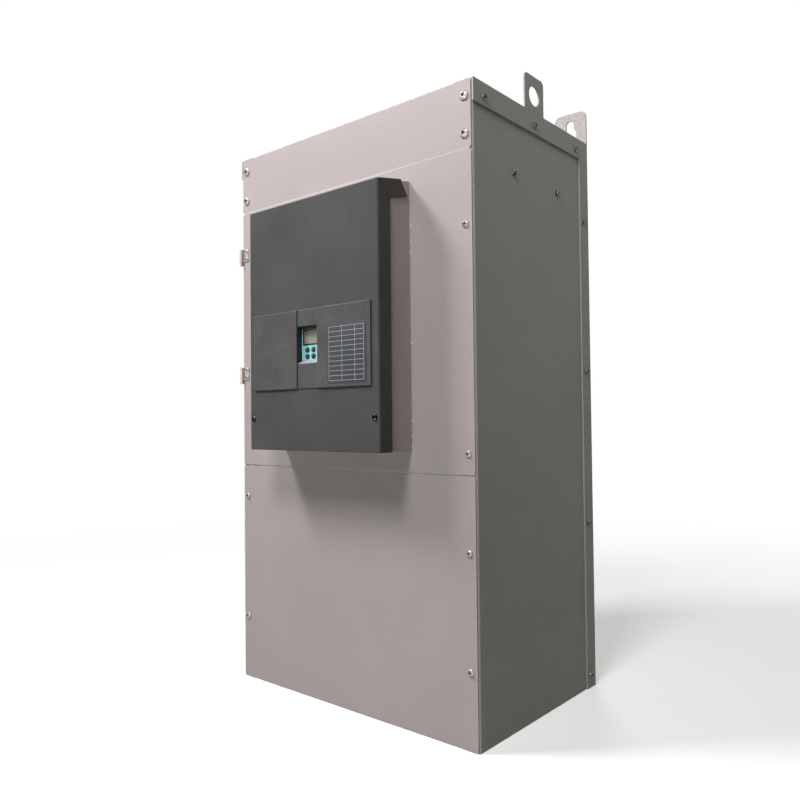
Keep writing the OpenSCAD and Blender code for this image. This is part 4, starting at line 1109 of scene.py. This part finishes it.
@dataclass
class ControlUnit:
    """Keys, display rim, the window's painted highlight on its sill and painted shade on its walls, blank
    rating plate and welds of the control box, in millimetres.
    """

    band_y: float = -172.1
    plate_x: Span = (34.0, 98.0)
    plate_z: Span = (414.8, 485.7)
    plate_t: float = 0.4
    plate_corner: float = 2.0
    plate_rim: float = 0.12
    rule_w: float = 0.45
    rule_step: float = 5.6
    rule_in: float = 3.2
    rule_stops: Span = (22.0, 43.0)
    rule_lift: float = 0.01
    print_t: float = 0.08
    sill_x: Span = (-20.9, 15.8)
    sill_from: Span = (-170.6, 441.7)
    sill_to: Span = (-163.2, 445.4)
    sill_t: float = 0.35
    sill_edge: float = 0.12
    # Thin black blocks of painted shade: along the band's step, on the window's left wall and under its top
    shade_parts: tuple[tuple[Point, Point], ...] = (
        ((-21.5, -171.9, 410.9), (-20.8, -170.8, 441.4)),
        ((-21.5, -171.9, 488.4), (-20.8, -170.8, 509.0)),
        ((-21.45, -171.9, 441.4), (-20.9, -163.1, 488.4)),
        ((-20.9, -164.3, 485.3), (16.1, -163.0, 488.2)),
    )
    shade_edge: float = 0.1
    rim_w: float = 1.5
    rim_t: float = 0.35
    rim_lap: float = 0.4
    rim_edge: float = 0.12
    key_rim: float = 0.8
    ring_r: Span = (1.0, 1.7)
    tack_r: float = 1.2
    tack_x: float = 115.9
    tack_y: float = -110.9
    tack_z: tuple[float, ...] = (338.5, 351.0, 368.3, 462.2, 571.9, 585.1, 603.6)
    bead_x: Span = (114.4, 115.2)
    bead_z: Span = (336.0, 640.0)
    bead_t: float = 0.5
    bead_edge: float = 0.2

    def build(self) -> None:
        """Makes every piece of the control unit."""
        self.make_plate()
        self.make_rim()
        self.make_sill()
        self.make_window_shade()
        for name in ("on", "off", "jog", "up", "down", "enter"):
            self.make_key(name, {"on": GREEN_PRINT, "off": RED_PRINT}.get(name, DIM_PRINT))
        self.make_welds()

    def make_plate(self) -> None:
        """Makes the blank rating plate with its ruled fields."""
        (x0, x1), (z0, z1) = self.plate_x, self.plate_z
        front = self.band_y - self.plate_t
        bm = bmesh.new()
        low, high = (x0, front, z0), (x1, self.band_y + SEAT, z1)
        add_plate(bm, low, high, self.plate_corner, rim=self.plate_rim)
        finish_piece("blank_rating_plate", bm, PLATE_FILM, "door")
        bm = bmesh.new()
        y0, y1, half = front - self.print_t, front + SEAT, self.rule_w / 2
        left, right = x0 + self.rule_in, x1 - self.rule_in
        bottom, top = z0 + self.rule_in, z1 - self.rule_in
        rows = int((top - bottom) / self.rule_step)
        for i in range(rows + 1):
            z = bottom + i * (top - bottom) / rows
            add_block(bm, (left, y0, z - half), (right, y1, z + half), edge=0.0)
        for x in (left, right, *(left + s for s in self.rule_stops)):
            add_block(bm, (x - half, y0 - self.rule_lift, bottom), (x + half, y1, top), edge=0.0)
        finish_piece("rating_plate_rules", bm, PALE_PRINT, "door")

    def make_sill(self) -> None:
        """Makes the pale strip on the window's sloping sill, a painted highlight."""
        (y0, z0), (y1, z1) = self.sill_from, self.sill_to
        lean = Matrix.Rotation(math.atan2(z1 - z0, y1 - y0), 4, "X")
        bm = bmesh.new()
        high = (self.sill_x[1], math.hypot(y1 - y0, z1 - z0), self.sill_t)
        add_block(bm, (self.sill_x[0], 0.0, -SEAT), high, self.sill_edge)
        set_in_place(bm, set(), at(0.0, y0, z0, lean))
        finish_piece("window_sill_highlight", bm, SILL_HIGHLIGHT, "door")

    def make_window_shade(self) -> None:
        """Makes the painted shade along the band's step, on the window's left wall and under its top: thin
        black blocks where only shadow falls.
        """
        bm = bmesh.new()
        for low, high in self.shade_parts:
            add_block(bm, low, high, self.shade_edge)
        finish_piece("window_painted_shade", bm, WINDOW_SHADE, "door")

    def make_rim(self) -> None:
        """Makes the dark rim round the display."""
        low, high = box_mm("keypad_display")
        face = box_mm("keypad_housing")[0].y
        lap = self.rim_lap
        (left, right), (bottom, top) = (low.x + lap, high.x - lap), (low.z + lap, high.z - lap)
        w = self.rim_w + lap
        bm = bmesh.new()
        for (x0, x1), (z0, z1) in (
            ((left - w, left), (bottom - w, top + w)),
            ((right, right + w), (bottom - w, top + w)),
            ((left, right), (bottom - w, bottom)),
            ((left, right), (top, top + w)),
        ):
            add_block(bm, (x0, face - self.rim_t, z0), (x1, face + lap, z1), self.rim_edge)
        finish_piece("display_rim", bm, RIM_PRINT, "door")

    def make_key(self, name: str, finish: Finish) -> None:
        """Makes one key with a soft crown, and the sign printed on it.

        Args:
            name: which key.
            finish: colour of the print.
        """
        node, body = f"key_{name}", f"key_{name}_cap"
        low, high = box_mm(node)
        bm = bmesh.new()
        add_plate(bm, tuple(low), tuple(high), (high.z - low.z) / 2, rim=self.key_rim)
        finish_piece(f"{node}_crown", bm, KEY_RUBBER, body, [node])
        x, y, z = (low.x + high.x) / 2, low.y, (low.z + high.z) / 2
        bm = bmesh.new()
        for i, ((x0, z0), (x1, z1)) in enumerate(SIGN_BARS.get(name, [])):
            front = y - self.print_t - i * self.rule_lift
            add_block(bm, (x + x0, front, z + z0), (x + x1, y + SEAT, z + z1), edge=0.0)
        for shift, size, turn in SIGN_ARROWS.get(name, []):
            self.add_arrow(bm, (x + shift, y, z), size, turn)
        if name == "off":
            r0, r1 = self.ring_r
            ring = [(r0, -SEAT), (r1, -SEAT), (r1, self.print_t), (r0, self.print_t), (r0, -SEAT)]
            add_turned(bm, ring, at(x, y, z, FRONT), 32)
        finish_piece(f"{node}_sign", bm, finish, body)

    def add_arrow(self, bm: BMesh, middle: Point, size: float, turn: float) -> None:
        """Adds a printed triangle.

        Args:
            bm: bmesh that takes the triangle.
            middle: its middle on the key's face.
            size: radius of its corners.
            turn: direction of its point in degrees, counter-clockwise from the right.
        """
        before = set(bm.verts)
        r, t = size * MM, 2 * self.print_t * MM
        bmesh.ops.create_cone(bm, cap_ends=True, segments=3, radius1=r, radius2=r, depth=t)
        far = max(added(bm, before), key=lambda v: v.co.xy.length)
        spun = Matrix.Rotation(math.radians(turn) - math.atan2(far.co.y, far.co.x), 4, "Z")
        set_in_place(bm, before, at(*middle, FRONT) @ spun)

    def make_welds(self) -> None:
        """Makes the small weld tacks and the thin bead along the foot of the box, whose pale colours are
        painted highlights.
        """
        bm = bmesh.new()
        r = self.tack_r
        dome = [(0.0, -0.2), (r, -0.2), (r, 0.1), (r * 0.8, 0.45), (r * 0.4, 0.65), (0.0, 0.7)]
        for s in SIDES:
            for z in self.tack_z:
                add_turned(bm, dome, at(s * self.tack_x, self.tack_y, z, FRONT), 12)
        # The tacks' near-white colour is a painted highlight
        finish_piece("box_weld_tacks", bm, WELD_TACK_HIGHLIGHT, "door")
        bm = bmesh.new()
        wall, foot = self.bead_x
        for x0, x1 in ((wall, foot), (-foot, -wall)):
            low = (x0, self.tack_y - self.bead_t, self.bead_z[0])
            add_block(bm, low, (x1, self.tack_y + SEAT, self.bead_z[1]), self.bead_edge)
        # The bead's paler edge colour is a painted highlight along the foot of the box
        finish_piece("box_foot_bead", bm, GREY_COAT, "door")


# Circuit boards

PART_FINISHES: dict[str, Finish] = {
    "pulse_cores": FERRITE,
    "pulse_windings": YELLOW_TAPE,
    "pulse_bobbins": EPOXY,
    "capacitor_sleeves": SLEEVE,
    "capacitor_tops": CAN_TOP,
    "plug_housings": WHITE_NYLON,
    "plug_pins": TINNED,
    "chip_bodies": EPOXY,
    "chip_legs": TINNED,
    "small_parts": EPOXY,
    "small_part_ends": TINNED,
    "relay_cases": BLUE_RESIN,
    "relay_bases": EPOXY,
    "supply_core": LAMINATED_STEEL,
    "supply_coil": YELLOW_TAPE,
    "supply_bobbin": WHITE_NYLON,
    "supply_rivets": TINNED,
    "terminal_bodies": GREEN_NYLON,
    "terminal_screws": BRIGHT_ZINC,
    "resistors": STEATITE,
    "resistor_leads": TINNED,
}


@dataclass(frozen=True)
class Block:
    """One block of a component, measured from its seat on the board's face, in millimetres."""

    part: str
    x: Span
    out: Span
    z: Span
    edge: float = 0.3
    segments: int = 2


def core_blocks(part: str, size: Point, leg: float, out: Span, edge: float) -> list[Block]:
    """Returns a transformer's square core, of two legs and two yokes.

    Args:
        part: kind of part.
        size: width, depth and height of the transformer.
        leg: width of a leg.
        out: how far the core's back and front stand out from the board's face.
        edge: size of the rounding.

    Returns:
        The four blocks.
    """
    half, tall = size[0] / 2, size[2]
    inner = half - leg
    legs = [Block(part, x, out, (0.0, tall), edge) for x in ((-half, -inner), (inner, half))]
    return legs + [Block(part, (-inner, inner), out, (z, z + leg), edge) for z in (0.0, tall - leg)]


def pulse_blocks(size: Point, leg: float = 5.0, foot: float = 5.0) -> list[Block]:
    """Returns a pulse transformer: ferrite core, taped winding and bobbin.

    Args:
        size: width, depth and height.
        leg: width of a leg of the core.
        foot: height of the bobbin, under the core.

    Returns:
        Its blocks.
    """
    w, d, h = size
    return core_blocks("pulse_cores", size, leg, (foot, d - 4.0), 0.5) + [
        Block("pulse_windings", around(0.0, w / 2 - leg - 0.4), (3.0, d - 0.6), (leg, h - leg), 2.4, 4),
        Block("pulse_bobbins", around(0.0, w / 2 - 1.0), (0.0, foot), (1.0, h - 1.0), 0.6),
    ]


def relay_blocks(size: Point, base: float = 2.4, lap: float = 0.4) -> list[Block]:
    """Returns a sealed relay with a moulded lid.

    Args:
        size: width, depth and height.
        base: height of its base.
        lap: how far the base stands out beyond the case, and the case sinks into it.

    Returns:
        Its blocks.
    """
    w, d, h = size
    return [
        Block("relay_cases", around(0.0, w / 2), (base - lap, d), (0.0, h), 1.0, 3),
        Block("relay_cases", around(0.0, w / 2 - 3.0), (d - 0.3, d + 0.4), (3.0, h - 3.0)),
        Block("relay_bases", around(0.0, w / 2 + lap), (0.0, base), (-lap, h + lap)),
    ]


def supply_blocks(size: Point, leg: float, foot: float, cheek: float = 2.0) -> list[Block]:
    """Returns a supply transformer: laminated core, taped coil, and the bobbin's cheeks and foot.

    Args:
        size: width, depth and height.
        leg: width of a leg of the core.
        foot: height of the bobbin's foot, under the core.
        cheek: thickness of the bobbin's cheeks.

    Returns:
        Its blocks.
    """
    w, d, h = size
    inner, end = w / 2 - leg, h - leg - cheek
    core = core_blocks("supply_core", size, leg, (foot, d - foot), 0.4)
    coil = Block("supply_coil", around(0.0, inner - 1.0), (2.0, d - 0.5), (leg + cheek, end), 3.0, 4)
    cheeks = [Block("supply_bobbin", around(0.0, inner), (0.0, d), (z, z + cheek)) for z in (leg, end)]
    base = Block("supply_bobbin", around(0.0, w / 2 - 4.0), (0.0, foot), (4.0, h - 4.0), 0.5)
    return [*core, coil, *cheeks, base]


# Small dual-row package with eight legs on a side
DUAL_ROW = [Block("chip_bodies", (-10.0, 10.0), (0.8, 4.2), (-3.2, 3.2), 0.35)] + [
    Block("chip_legs", around((i - 3.5) * 2.54, 0.5), (0.0, 2.6), around(s * 3.5, 0.5), 0.15, 1)
    for i in range(8)
    for s in SIDES
]
# Chip resistor with tinned ends
SMALL_PART = [Block("small_parts", (-0.8, 0.8), (0.0, 0.9), (-1.1, 1.1), 0.12, 1)] + [
    Block("small_part_ends", (-0.85, 0.85), (0.0, 0.95), around(s * 1.35, 0.35), 0.12, 1) for s in SIDES
]


@dataclass
class Board:
    """One circuit board and the parts on it, in millimetres, placed by its CAD node."""

    node: str
    body: str = "cabinet"
    behind: float = 0.0
    laminate_t: float = 1.6
    corner: float = 2.0
    rim: float = 0.15
    screw_in: float = 6.0
    spacer_across: float = 5.2
    pin_pitch: float = 3.96
    leg_pitch: float = 1.9
    way: float = 10.1
    way_gap: float = 0.12
    screw_well: float = 2.2
    screw: ScrewKind = ScrewKind(2.9, 1.8, Recess.CROSS, rim_h=0.5, steps=24)

    def __post_init__(self) -> None:
        """Reads the board's place from its CAD node."""
        low, high = box_mm(self.node)
        self.x, self.z, self.w, self.h = low.x, low.z, high.x - low.x, high.z - low.z
        self.rear = high.y - self.behind
        self.face = self.rear - self.laminate_t
        self.parts: dict[str, BMesh] = {}

    def fill(self) -> None:
        """Sets the board's parts where the CAD board has them."""
        raise NotImplementedError

    def spot(self, across: float, up: float) -> Span:
        """Returns the place of a point from its shares of the board's width and height."""
        return self.x + across * self.w, self.z + up * self.h

    def part(self, name: str) -> BMesh:
        """Returns the bmesh that gathers one kind of part, new at its first use."""
        if name not in self.parts:
            self.parts[name] = bmesh.new()
        return self.parts[name]

    def put(self, blocks: Iterable[Block], x: float, z: float) -> None:
        """Adds the blocks of one component.

        Args:
            blocks: the component's blocks.
            x: place of its seat.
            z: height of its seat.
        """
        for b in blocks:
            low = (x + b.x[0], self.face - b.out[1], z + b.z[0])
            high = (x + b.x[1], self.face - b.out[0], z + b.z[1])
            add_block(self.part(b.part), low, high, b.edge, b.segments)

    def make_laminate(self) -> None:
        """Makes the board itself, its corner screws and its spacers."""
        bm = bmesh.new()
        low, high = (self.x, self.face, self.z), (self.x + self.w, self.rear, self.z + self.h)
        add_plate(bm, low, high, self.corner, rim=self.rim)
        finish_piece(f"{self.node}_laminate", bm, SOLDER_MASK, self.body, [self.node])
        inset = self.screw_in
        columns = (self.x + inset, self.x + self.w - inset)
        corners = [(x, z) for x in columns for z in (self.z + inset, self.z + self.h - inset)]
        heads = {self.screw: [at(x, self.face, z, FRONT) for x, z in corners]}
        make_screws(f"{self.node}_corner_screws", BRIGHT_ZINC, self.body, heads)
        if self.behind:
            bm = bmesh.new()
            for x, z in corners:
                add_hexagon(bm, self.spacer_across, self.behind, at(x, self.rear + self.behind, z, FRONT))
            finish_piece(f"{self.node}_spacers", bm, BRIGHT_ZINC, self.body, [self.node])

    def make_parts(self) -> None:
        """Makes a piece of each kind of part."""
        for name, bm in self.parts.items():
            whole = f"{self.node}_{name}"
            nodes = ["control_terminals"] if whole == "control_board_terminal_bodies" else []
            # The terminal screws' drives take painted shade
            second = RECESS_SHADE if name == "terminal_screws" else None
            finish_piece(whole, bm, PART_FINISHES[name], self.body, nodes, second)

    def add_can(self, x: float, z: float, r: float, tall: float) -> None:
        """Adds an electrolytic capacitor that stands out from the board.

        Args:
            x: its middle.
            z: its middle's height.
            r: its radius.
            tall: its length.
        """
        place = at(x, self.face, z, FRONT)
        lip, cross = r - 1.8, r - 2.6
        sleeve = [(0.0, 0.0), (r - 0.3, 0.0), (r, 0.4), (r, 2.2), (r - 0.7, 2.9), (r, 3.6), (r, tall - 1.0)]
        sleeve += [(r - 0.3, tall - 0.3), (r - 1.0, tall), (lip, tall), (lip, tall - 1.2)]
        add_turned(self.part("capacitor_sleeves"), sleeve, place, 28)
        top = self.part("capacitor_tops")
        add_turned(top, [(0.0, tall - 0.6), (lip, tall - 0.5), (lip, tall - 1.3)], place, 28)
        for turn in (45.0, 135.0):
            before = set(top.verts)
            add_block(top, (-cross, -0.25, tall - 0.7), (cross, 0.25, tall - 0.35), edge=0.0)
            set_in_place(top, before, place @ Matrix.Rotation(math.radians(turn), 4, "Z"))

    def add_plug(self, x: float, z: float, size: Point) -> None:
        """Adds a pin header: an open nylon housing with ribs on top and a row of pins.

        Args:
            x: its middle.
            z: its lower edge.
            size: width, depth and height.
        """
        w, d, h = size
        low, high = (x - w / 2, self.face - d, z), (x + w / 2, self.face, z + h)
        add_socketed(self.part("plug_housings"), low, high, {(1, -1): (1.1, d - 3.0)})
        for share in (-0.3, 0.0, 0.3):
            rib = Block("plug_housings", around(share * w, 2.0), (2.0, d - 1.0), (h, h + 0.9), 0.2)
            self.put([rib], x, z)
        pin = Block("plug_pins", around(0.0, 0.5), (2.5, d - 0.8), around(h / 2, 0.5), 0.2, 1)
        count = int((w - 5.0) / self.pin_pitch)
        for i in range(count):
            self.put([pin], x + (i - (count - 1) / 2) * self.pin_pitch, z)

    def add_chip(self, x: float, z: float, size: Point) -> None:
        """Adds a square flat package with legs on its four sides.

        Args:
            x: its middle.
            z: its lower edge.
            size: width, depth and height.
        """
        w, d, h = size
        half, spare, leg = w / 2, 4.0, 2.2
        self.put([Block("chip_bodies", around(0.0, half - 2.0), (0.4, d), (2.0, h - 2.0), 0.4)], x, z)
        mark = [(0.0, 0.0), (1.2, 0.0), (1.0, 0.15), (0.0, 0.1)]
        add_turned(self.part("chip_bodies"), mark, at(x - half + 5.0, self.face - d, z + h - 5.0, FRONT), 14)
        run = w - 2 * spare
        count = int(run / self.leg_pitch)
        for i in range(count):
            narrow = around(spare + (i + 0.5) * run / count, 0.4)
            for long in ((0.0, leg), (w - leg, w)):
                sides = ((long, narrow), (narrow, long))
                self.put((Block("chip_legs", a, (0.0, 1.2), b, 0.15, 1) for a, b in sides), x - half, z)

    def add_small_parts(self, across: Span, up: Span, count: int) -> None:
        """Adds two rows of chip resistors.

        Args:
            across: first and last share of the width.
            up: share of the height of each row.
            count: parts in all, an even number.
        """
        columns = count // 2
        for i in range(count):
            share = (i % columns + 0.5) / columns
            self.put(SMALL_PART, *self.spot(across[0] + (across[1] - across[0]) * share, up[i // columns]))

    def add_terminals(self, x: float, z: float, size: Point) -> None:
        """Adds a row of terminals, each way with a wire mouth below and a screw in front.

        Args:
            x: left end.
            z: lower edge.
            size: width, depth and height.
        """
        w, d, h = size
        ways = max(1, round(w / self.way))
        step, front = w / ways, self.face - d
        kind = ScrewKind(step * 0.3, 1.2, Recess.CROSS, rim_h=0.4, steps=24)
        mouths = {(2, -1): (1.6, h * 0.45), (1, -1): (1.4, self.screw_well)}
        for i in range(ways):
            a = x + i * step
            low, high = (a + self.way_gap, front, z), (a + step - self.way_gap, self.face, z + h)
            add_socketed(self.part("terminal_bodies"), low, high, mouths)
            seat = at(a + step / 2, front + self.screw_well, z + h / 2, FRONT)
            kind.add(self.part("terminal_screws"), seat)


@dataclass
class FiringBoard(Board):
    """The upper board: pulse transformers, capacitors, plugs and chips."""

    node: str = "firing_board"
    pulse: Point = (28.0, 22.0, 30.0)
    pulse_gap: float = 12.0
    can: Span = (9.0, 24.0)
    plug: Point = (48.0, 10.0, 9.0)
    plug_rise: float = 14.0
    chip: Point = (34.0, 3.0, 34.0)

    def fill(self) -> None:
        """Sets the board's parts where the CAD board has them."""
        for i in range(6):
            x, z = self.spot((i + 0.5) / 6, 1.0)
            self.put(pulse_blocks(self.pulse), x, z - self.pulse[2] - self.pulse_gap)
        for i in range(4):
            self.add_can(*self.spot(0.1 + i * 0.08, 0.3), *self.can)
        for i in range(2):
            x, z = self.spot(0.7 + i * 0.18, 0.0)
            self.add_plug(x, z + self.plug_rise, self.plug)
        self.add_chip(*self.spot(0.7, 0.32), self.chip)
        for i in range(4):
            self.put(DUAL_ROW, *self.spot(0.47 + (i % 2) * 0.1, 0.24 + (i // 2) * 0.2))
        self.add_small_parts((0.05, 0.56), (0.48, 0.57), 26)
        self.add_small_parts((0.82, 0.95), (0.44, 0.57), 10)


@dataclass
class InterfaceBoard(Board):
    """The lower board: relays, supply transformer, resistors and a row of terminals."""

    node: str = "interface_board"
    relay: Point = (28.0, 20.0, 38.0)
    relay_gap: float = 12.0
    supply: Point = (64.0, 32.0, 54.0)
    supply_gap: float = 18.0
    supply_leg: float = 11.0
    supply_foot: float = 6.0
    strip: Point = (303.0, 16.0, 16.0)
    strip_rise: float = 4.0
    resistor: Span = (5.2, 30.0)
    resistor_gap: float = 0.6
    lead_half: float = 0.6
    lead_past: float = 0.8

    def fill(self) -> None:
        """Sets the board's parts where the CAD board has them."""
        for i in range(4):
            x, z = self.spot(0.1 + i * 0.11, 1.0)
            self.put(relay_blocks(self.relay), x, z - self.relay[2] - self.relay_gap)
        x, z = self.spot(0.82, 1.0)
        self.add_supply(x, z - self.supply[2] - self.supply_gap)
        self.add_terminals(self.x + (self.w - self.strip[0]) / 2, self.z + self.strip_rise, self.strip)
        for i in range(5):
            self.add_resistor(*self.spot(0.09 + i * 0.065, 0.25))
        for i in range(3):
            self.put(DUAL_ROW, *self.spot(0.52 + i * 0.1, 0.26))
        self.add_small_parts((0.53, 0.66), (0.6, 0.9), 12)
        self.add_small_parts((0.42, 0.47), (0.26, 0.48), 6)

    def add_supply(self, x: float, z: float) -> None:
        """Adds the supply transformer with the rivets of its core.

        Args:
            x: its middle.
            z: its lower edge.
        """
        w, d, h = self.supply
        leg, foot = self.supply_leg, self.supply_foot
        self.put(supply_blocks(self.supply, leg, foot), x, z)
        dome = [(0.0, 0.0), (2.6, 0.0), (2.4, 0.7), (1.4, 1.2), (0.0, 1.3)]
        for a in around(x, (w - leg) / 2):
            for b in (z + leg / 2, z + h - leg / 2):
                add_turned(self.part("supply_rivets"), dome, at(a, self.face - d + foot, b, FRONT), 16)

    def add_resistor(self, x: float, z: float) -> None:
        """Adds an upright wire-wound resistor on its leads.

        Args:
            x: its middle.
            z: its lower end.
        """
        r, tall = self.resistor
        half = [(0.0, 0.6), (r - 0.8, 0.6), (r - 0.2, 1.2), (r - 0.2, 3.4), (r - 0.6, 4.0)]
        line = half + [(a, tall - b) for a, b in reversed(half)]
        out, lead = r + self.resistor_gap, self.lead_half
        lower, upper = -self.lead_past, tall + self.lead_past - 2 * lead
        add_turned(self.part("resistors"), line, at(x, self.face - out, z), 20)
        for a in (lower, upper):
            rod = Block("resistor_leads", around(0.0, lead), (-0.2, out + lead), (a, a + 2 * lead))
            self.put([rod], x, z)


@dataclass
class ControlBoard(Board):
    """The board in the control box: a processor, capacitors, plugs and two rows of terminals."""

    node: str = "control_board"
    body: str = "door"
    behind: float = 14.5
    processor: Point = (36.0, 4.0, 36.0)
    can: Span = (8.0, 20.0)
    plug: Point = (44.0, 12.0, 9.0)
    row_gap: float = 8.0

    def fill(self) -> None:
        """Sets the board's parts where the CAD board has them."""
        self.add_chip(*self.spot(0.8, 0.68), self.processor)
        for i in range(3):
            self.add_can(*self.spot(0.12 + i * 0.11, 0.84), *self.can)
        self.add_plug(*self.spot(0.82, 0.28), self.plug)
        self.add_plug(*self.spot(0.16, 0.38), self.plug)
        for i in range(4):
            self.put(DUAL_ROW, *self.spot(0.5 + (i % 2) * 0.14, 0.86 + (i // 2) * 0.07))
        self.add_small_parts((0.1, 0.22), (0.5, 0.76), 16)
        low, high = box_mm("control_terminals")
        half = (high.x - low.x - self.row_gap) / 2
        for x in (low.x, high.x - half):
            self.add_terminals(x, low.z, (half, high.y - low.y, high.z - low.z))


def build_boards() -> None:
    """Makes the three circuit boards with their parts."""
    boards = (FiringBoard(), InterfaceBoard(), ControlBoard())
    for board in boards:
        board.fill()
        board.make_laminate()
    for board in boards:
        board.make_parts()


# Power stack


@dataclass
class PowerStack:
    """Bolts, fuses and module details of the converter, in millimetres."""

    phases: Point = (-112.667, 0.0, 112.667)
    fuses: Point = (-169.0, -56.333, 56.333)
    rows: Span = (367.0, 537.0)
    pad_step: float = 36.0
    tab_y: float = 29.1
    plus_y: float = 5.1
    minus_y: float = -18.9
    plus_z: Span = (331.0, 537.0)
    minus_z: Span = (367.0, 501.0)
    rail_z: float = 105.0
    drops: tuple[Span, ...] = ((179.0, 5.1), (131.0, -18.9))
    fuse_y: float = 22.1
    fuse_z: float = 166.0
    fuse_w: float = 52.0
    fuse_h: float = 74.0
    fuse_corner: float = 5.0
    body_rim: float = 0.6
    end_rim: float = 0.5
    end_t: float = 5.0
    body_in: float = 2.0
    foot_bolt_in: float = 4.0
    tab_x: float = 16.0
    tab_h: float = 5.5
    tab_half: float = 4.0
    tab_in: Span = (0.6, 3.0)
    tab_edge: float = 0.4
    bar_t: float = 6.0
    sink_y: float = 88.1
    foot_t: float = 5.0
    foot_x: float = 18.0
    foot_in: float = 7.0
    module_h: float = 124.0
    module_d: float = 50.0
    gate_up: float = 12.4
    gate_x: Span = (9.0, 15.5)
    gate_l: float = 6.0
    gate_root: float = 0.5
    gate_half: float = 1.4
    gate_t: float = 0.8
    stud: Point = (-193.5, 45.1, 105.0)
    nut: Span = (13.0, 6.0)
    nut_steps: Span = (14.0, 7.5)
    foot_kind: ScrewKind = ScrewKind(4.6, 3.6, Recess.HEXAGON)

    def build(self) -> None:
        """Makes the stack's fittings."""
        self.make_bolts()
        self.make_fuses()
        self.make_module_parts()

    def make_bolts(self) -> None:
        """Makes the bolts on the bars, on the insulators and on the earth stud."""
        bm = bmesh.new()
        places = [(self.tab_y, row + self.pad_step) for row in self.rows]
        places += [(self.plus_y, z) for z in self.plus_z] + [(self.minus_y, z) for z in self.minus_z]
        for x in self.phases:
            for y, z in places:
                add_bolt(bm, at(x, y, z, FRONT))
        for x in self.fuses:
            add_bolt(bm, at(x, self.tab_y, self.rail_z, FRONT))
            add_bolt(bm, at(x, self.fuse_y - self.foot_bolt_in, self.fuse_z - self.bar_t, UNDER))
        for x, y in self.drops:
            add_bolt(bm, at(x, y, self.rail_z, FRONT))
        x, y, z = self.stud
        for step in self.nut_steps:
            add_hexagon(bm, *self.nut, at(x, y + step, z, FRONT))
        finish_piece("busbar_bolts", bm, BRIGHT_ZINC, "cabinet")

    def make_fuses(self) -> None:
        """Makes the square fuses: ceramic bodies between plated end plates."""
        body, ends = bmesh.new(), bmesh.new()
        half, y, z, t = self.fuse_w / 2, self.fuse_y, self.fuse_z, self.end_t
        top, thick = z + self.fuse_h - t, half - self.body_in
        for x in self.fuses:
            low, high = (x - thick, y - thick, z + t), (x + thick, y + thick, top)
            add_plate(body, low, high, self.fuse_corner, axis=2, rim=self.body_rim)
            for a in (z, top):
                low, high = (x - half, y - half, a), (x + half, y + half, a + t)
                add_plate(ends, low, high, self.fuse_corner, axis=2, rim=self.end_rim)
            front, back = (y - half + depth for depth in self.tab_in)
            for left, right in (around(x + s * self.tab_x, self.tab_half) for s in SIDES):
                for a in (z + t, top - self.tab_h):
                    add_block(ends, (left, front, a), (right, back, a + self.tab_h), self.tab_edge)
        finish_piece("fuse_bodies", body, STEATITE, "cabinet", ["line_fuses"])
        finish_piece("fuse_end_plates", ends, BRIGHT_ZINC, "cabinet", ["line_fuses"])

    def make_module_parts(self) -> None:
        """Makes the modules' foot screws and gate tabs."""
        feet, tabs = [], bmesh.new()
        half, front = self.module_h / 2, self.sink_y - self.module_d
        for x, row, s in ((x, row, s) for x in self.phases for row in self.rows for s in SIDES):
            for z in around(row, half - self.foot_in):
                feet.append(at(x + s * self.foot_x, self.sink_y - self.foot_t, z, FRONT))
            z0, z1 = around(row - half + self.gate_up, self.gate_t / 2)
            for x0, x1 in (around(x + s * a, self.gate_half) for a in self.gate_x):
                add_block(tabs, (x0, front - self.gate_l, z0), (x1, front + self.gate_root, z1), 0.15)
        make_screws("module_foot_screws", BRIGHT_ZINC, "cabinet", {self.foot_kind: feet})
        finish_piece("module_gate_tabs", tabs, TINNED, "cabinet")


# Fans


@dataclass
class FanUnits:
    """Rotor caps and guard screws of the two fans, in millimetres."""

    fan_x: float = 88.0
    fan_y: float = 30.6
    shelf_z: float = 702.5
    fan_h: float = 51.0
    cap_r: float = 35.6
    cap_drop: float = 8.0
    guard_top: float = 757.0
    guard_r: float = 79.8
    screw: ScrewKind = ScrewKind(2.7, 1.7, Recess.CROSS, rim_h=0.5, steps=24)

    def build(self) -> None:
        """Makes the fittings of both fans."""
        r, floor = self.cap_r, self.shelf_z + self.fan_h - self.cap_drop
        line = [(0.0, 1.9), (6.0, 1.9), (6.6, 2.5), (8.0, 2.5), (8.6, 1.9), (r - 5.0, 1.9), (r - 4.4, 1.3)]
        line += [(r - 3.2, 1.3), (r - 2.6, 1.9), (r - 0.6, 1.9), (r, 1.4), (r, 0.02), (0.0, 0.02)]
        places = []
        for s, side in zip(SIDES, ("left", "right")):
            x, y = s * self.fan_x, self.fan_y
            bm = bmesh.new()
            add_turned(bm, line, at(x, y, floor), 48)
            finish_piece(f"fan_{side}_rotor_cap", bm, EXTRUDED_ALUMINIUM, f"fan_{side}")
            for t in (math.radians(a) for a in (45.0, 135.0, 225.0, 315.0)):
                across, deep = self.guard_r * math.cos(t), self.guard_r * math.sin(t)
                places.append(at(x + across, y + deep, self.guard_top))
        make_screws("guard_screws", BRIGHT_ZINC, "cabinet", {self.screw: places})


def main() -> None:
    """Builds the stage and every sub-assembly, and logs the faces of each new piece."""
    logging.basicConfig(level=logging.INFO, format="%(message)s")
    Studio().build()
    dress_cad_nodes()
    Fasteners().build()
    CasingTrim().build()
    ControlUnit().build()
    build_boards()
    PowerStack().build()
    FanUnits().build()


if __name__ == "__main__":
    main()
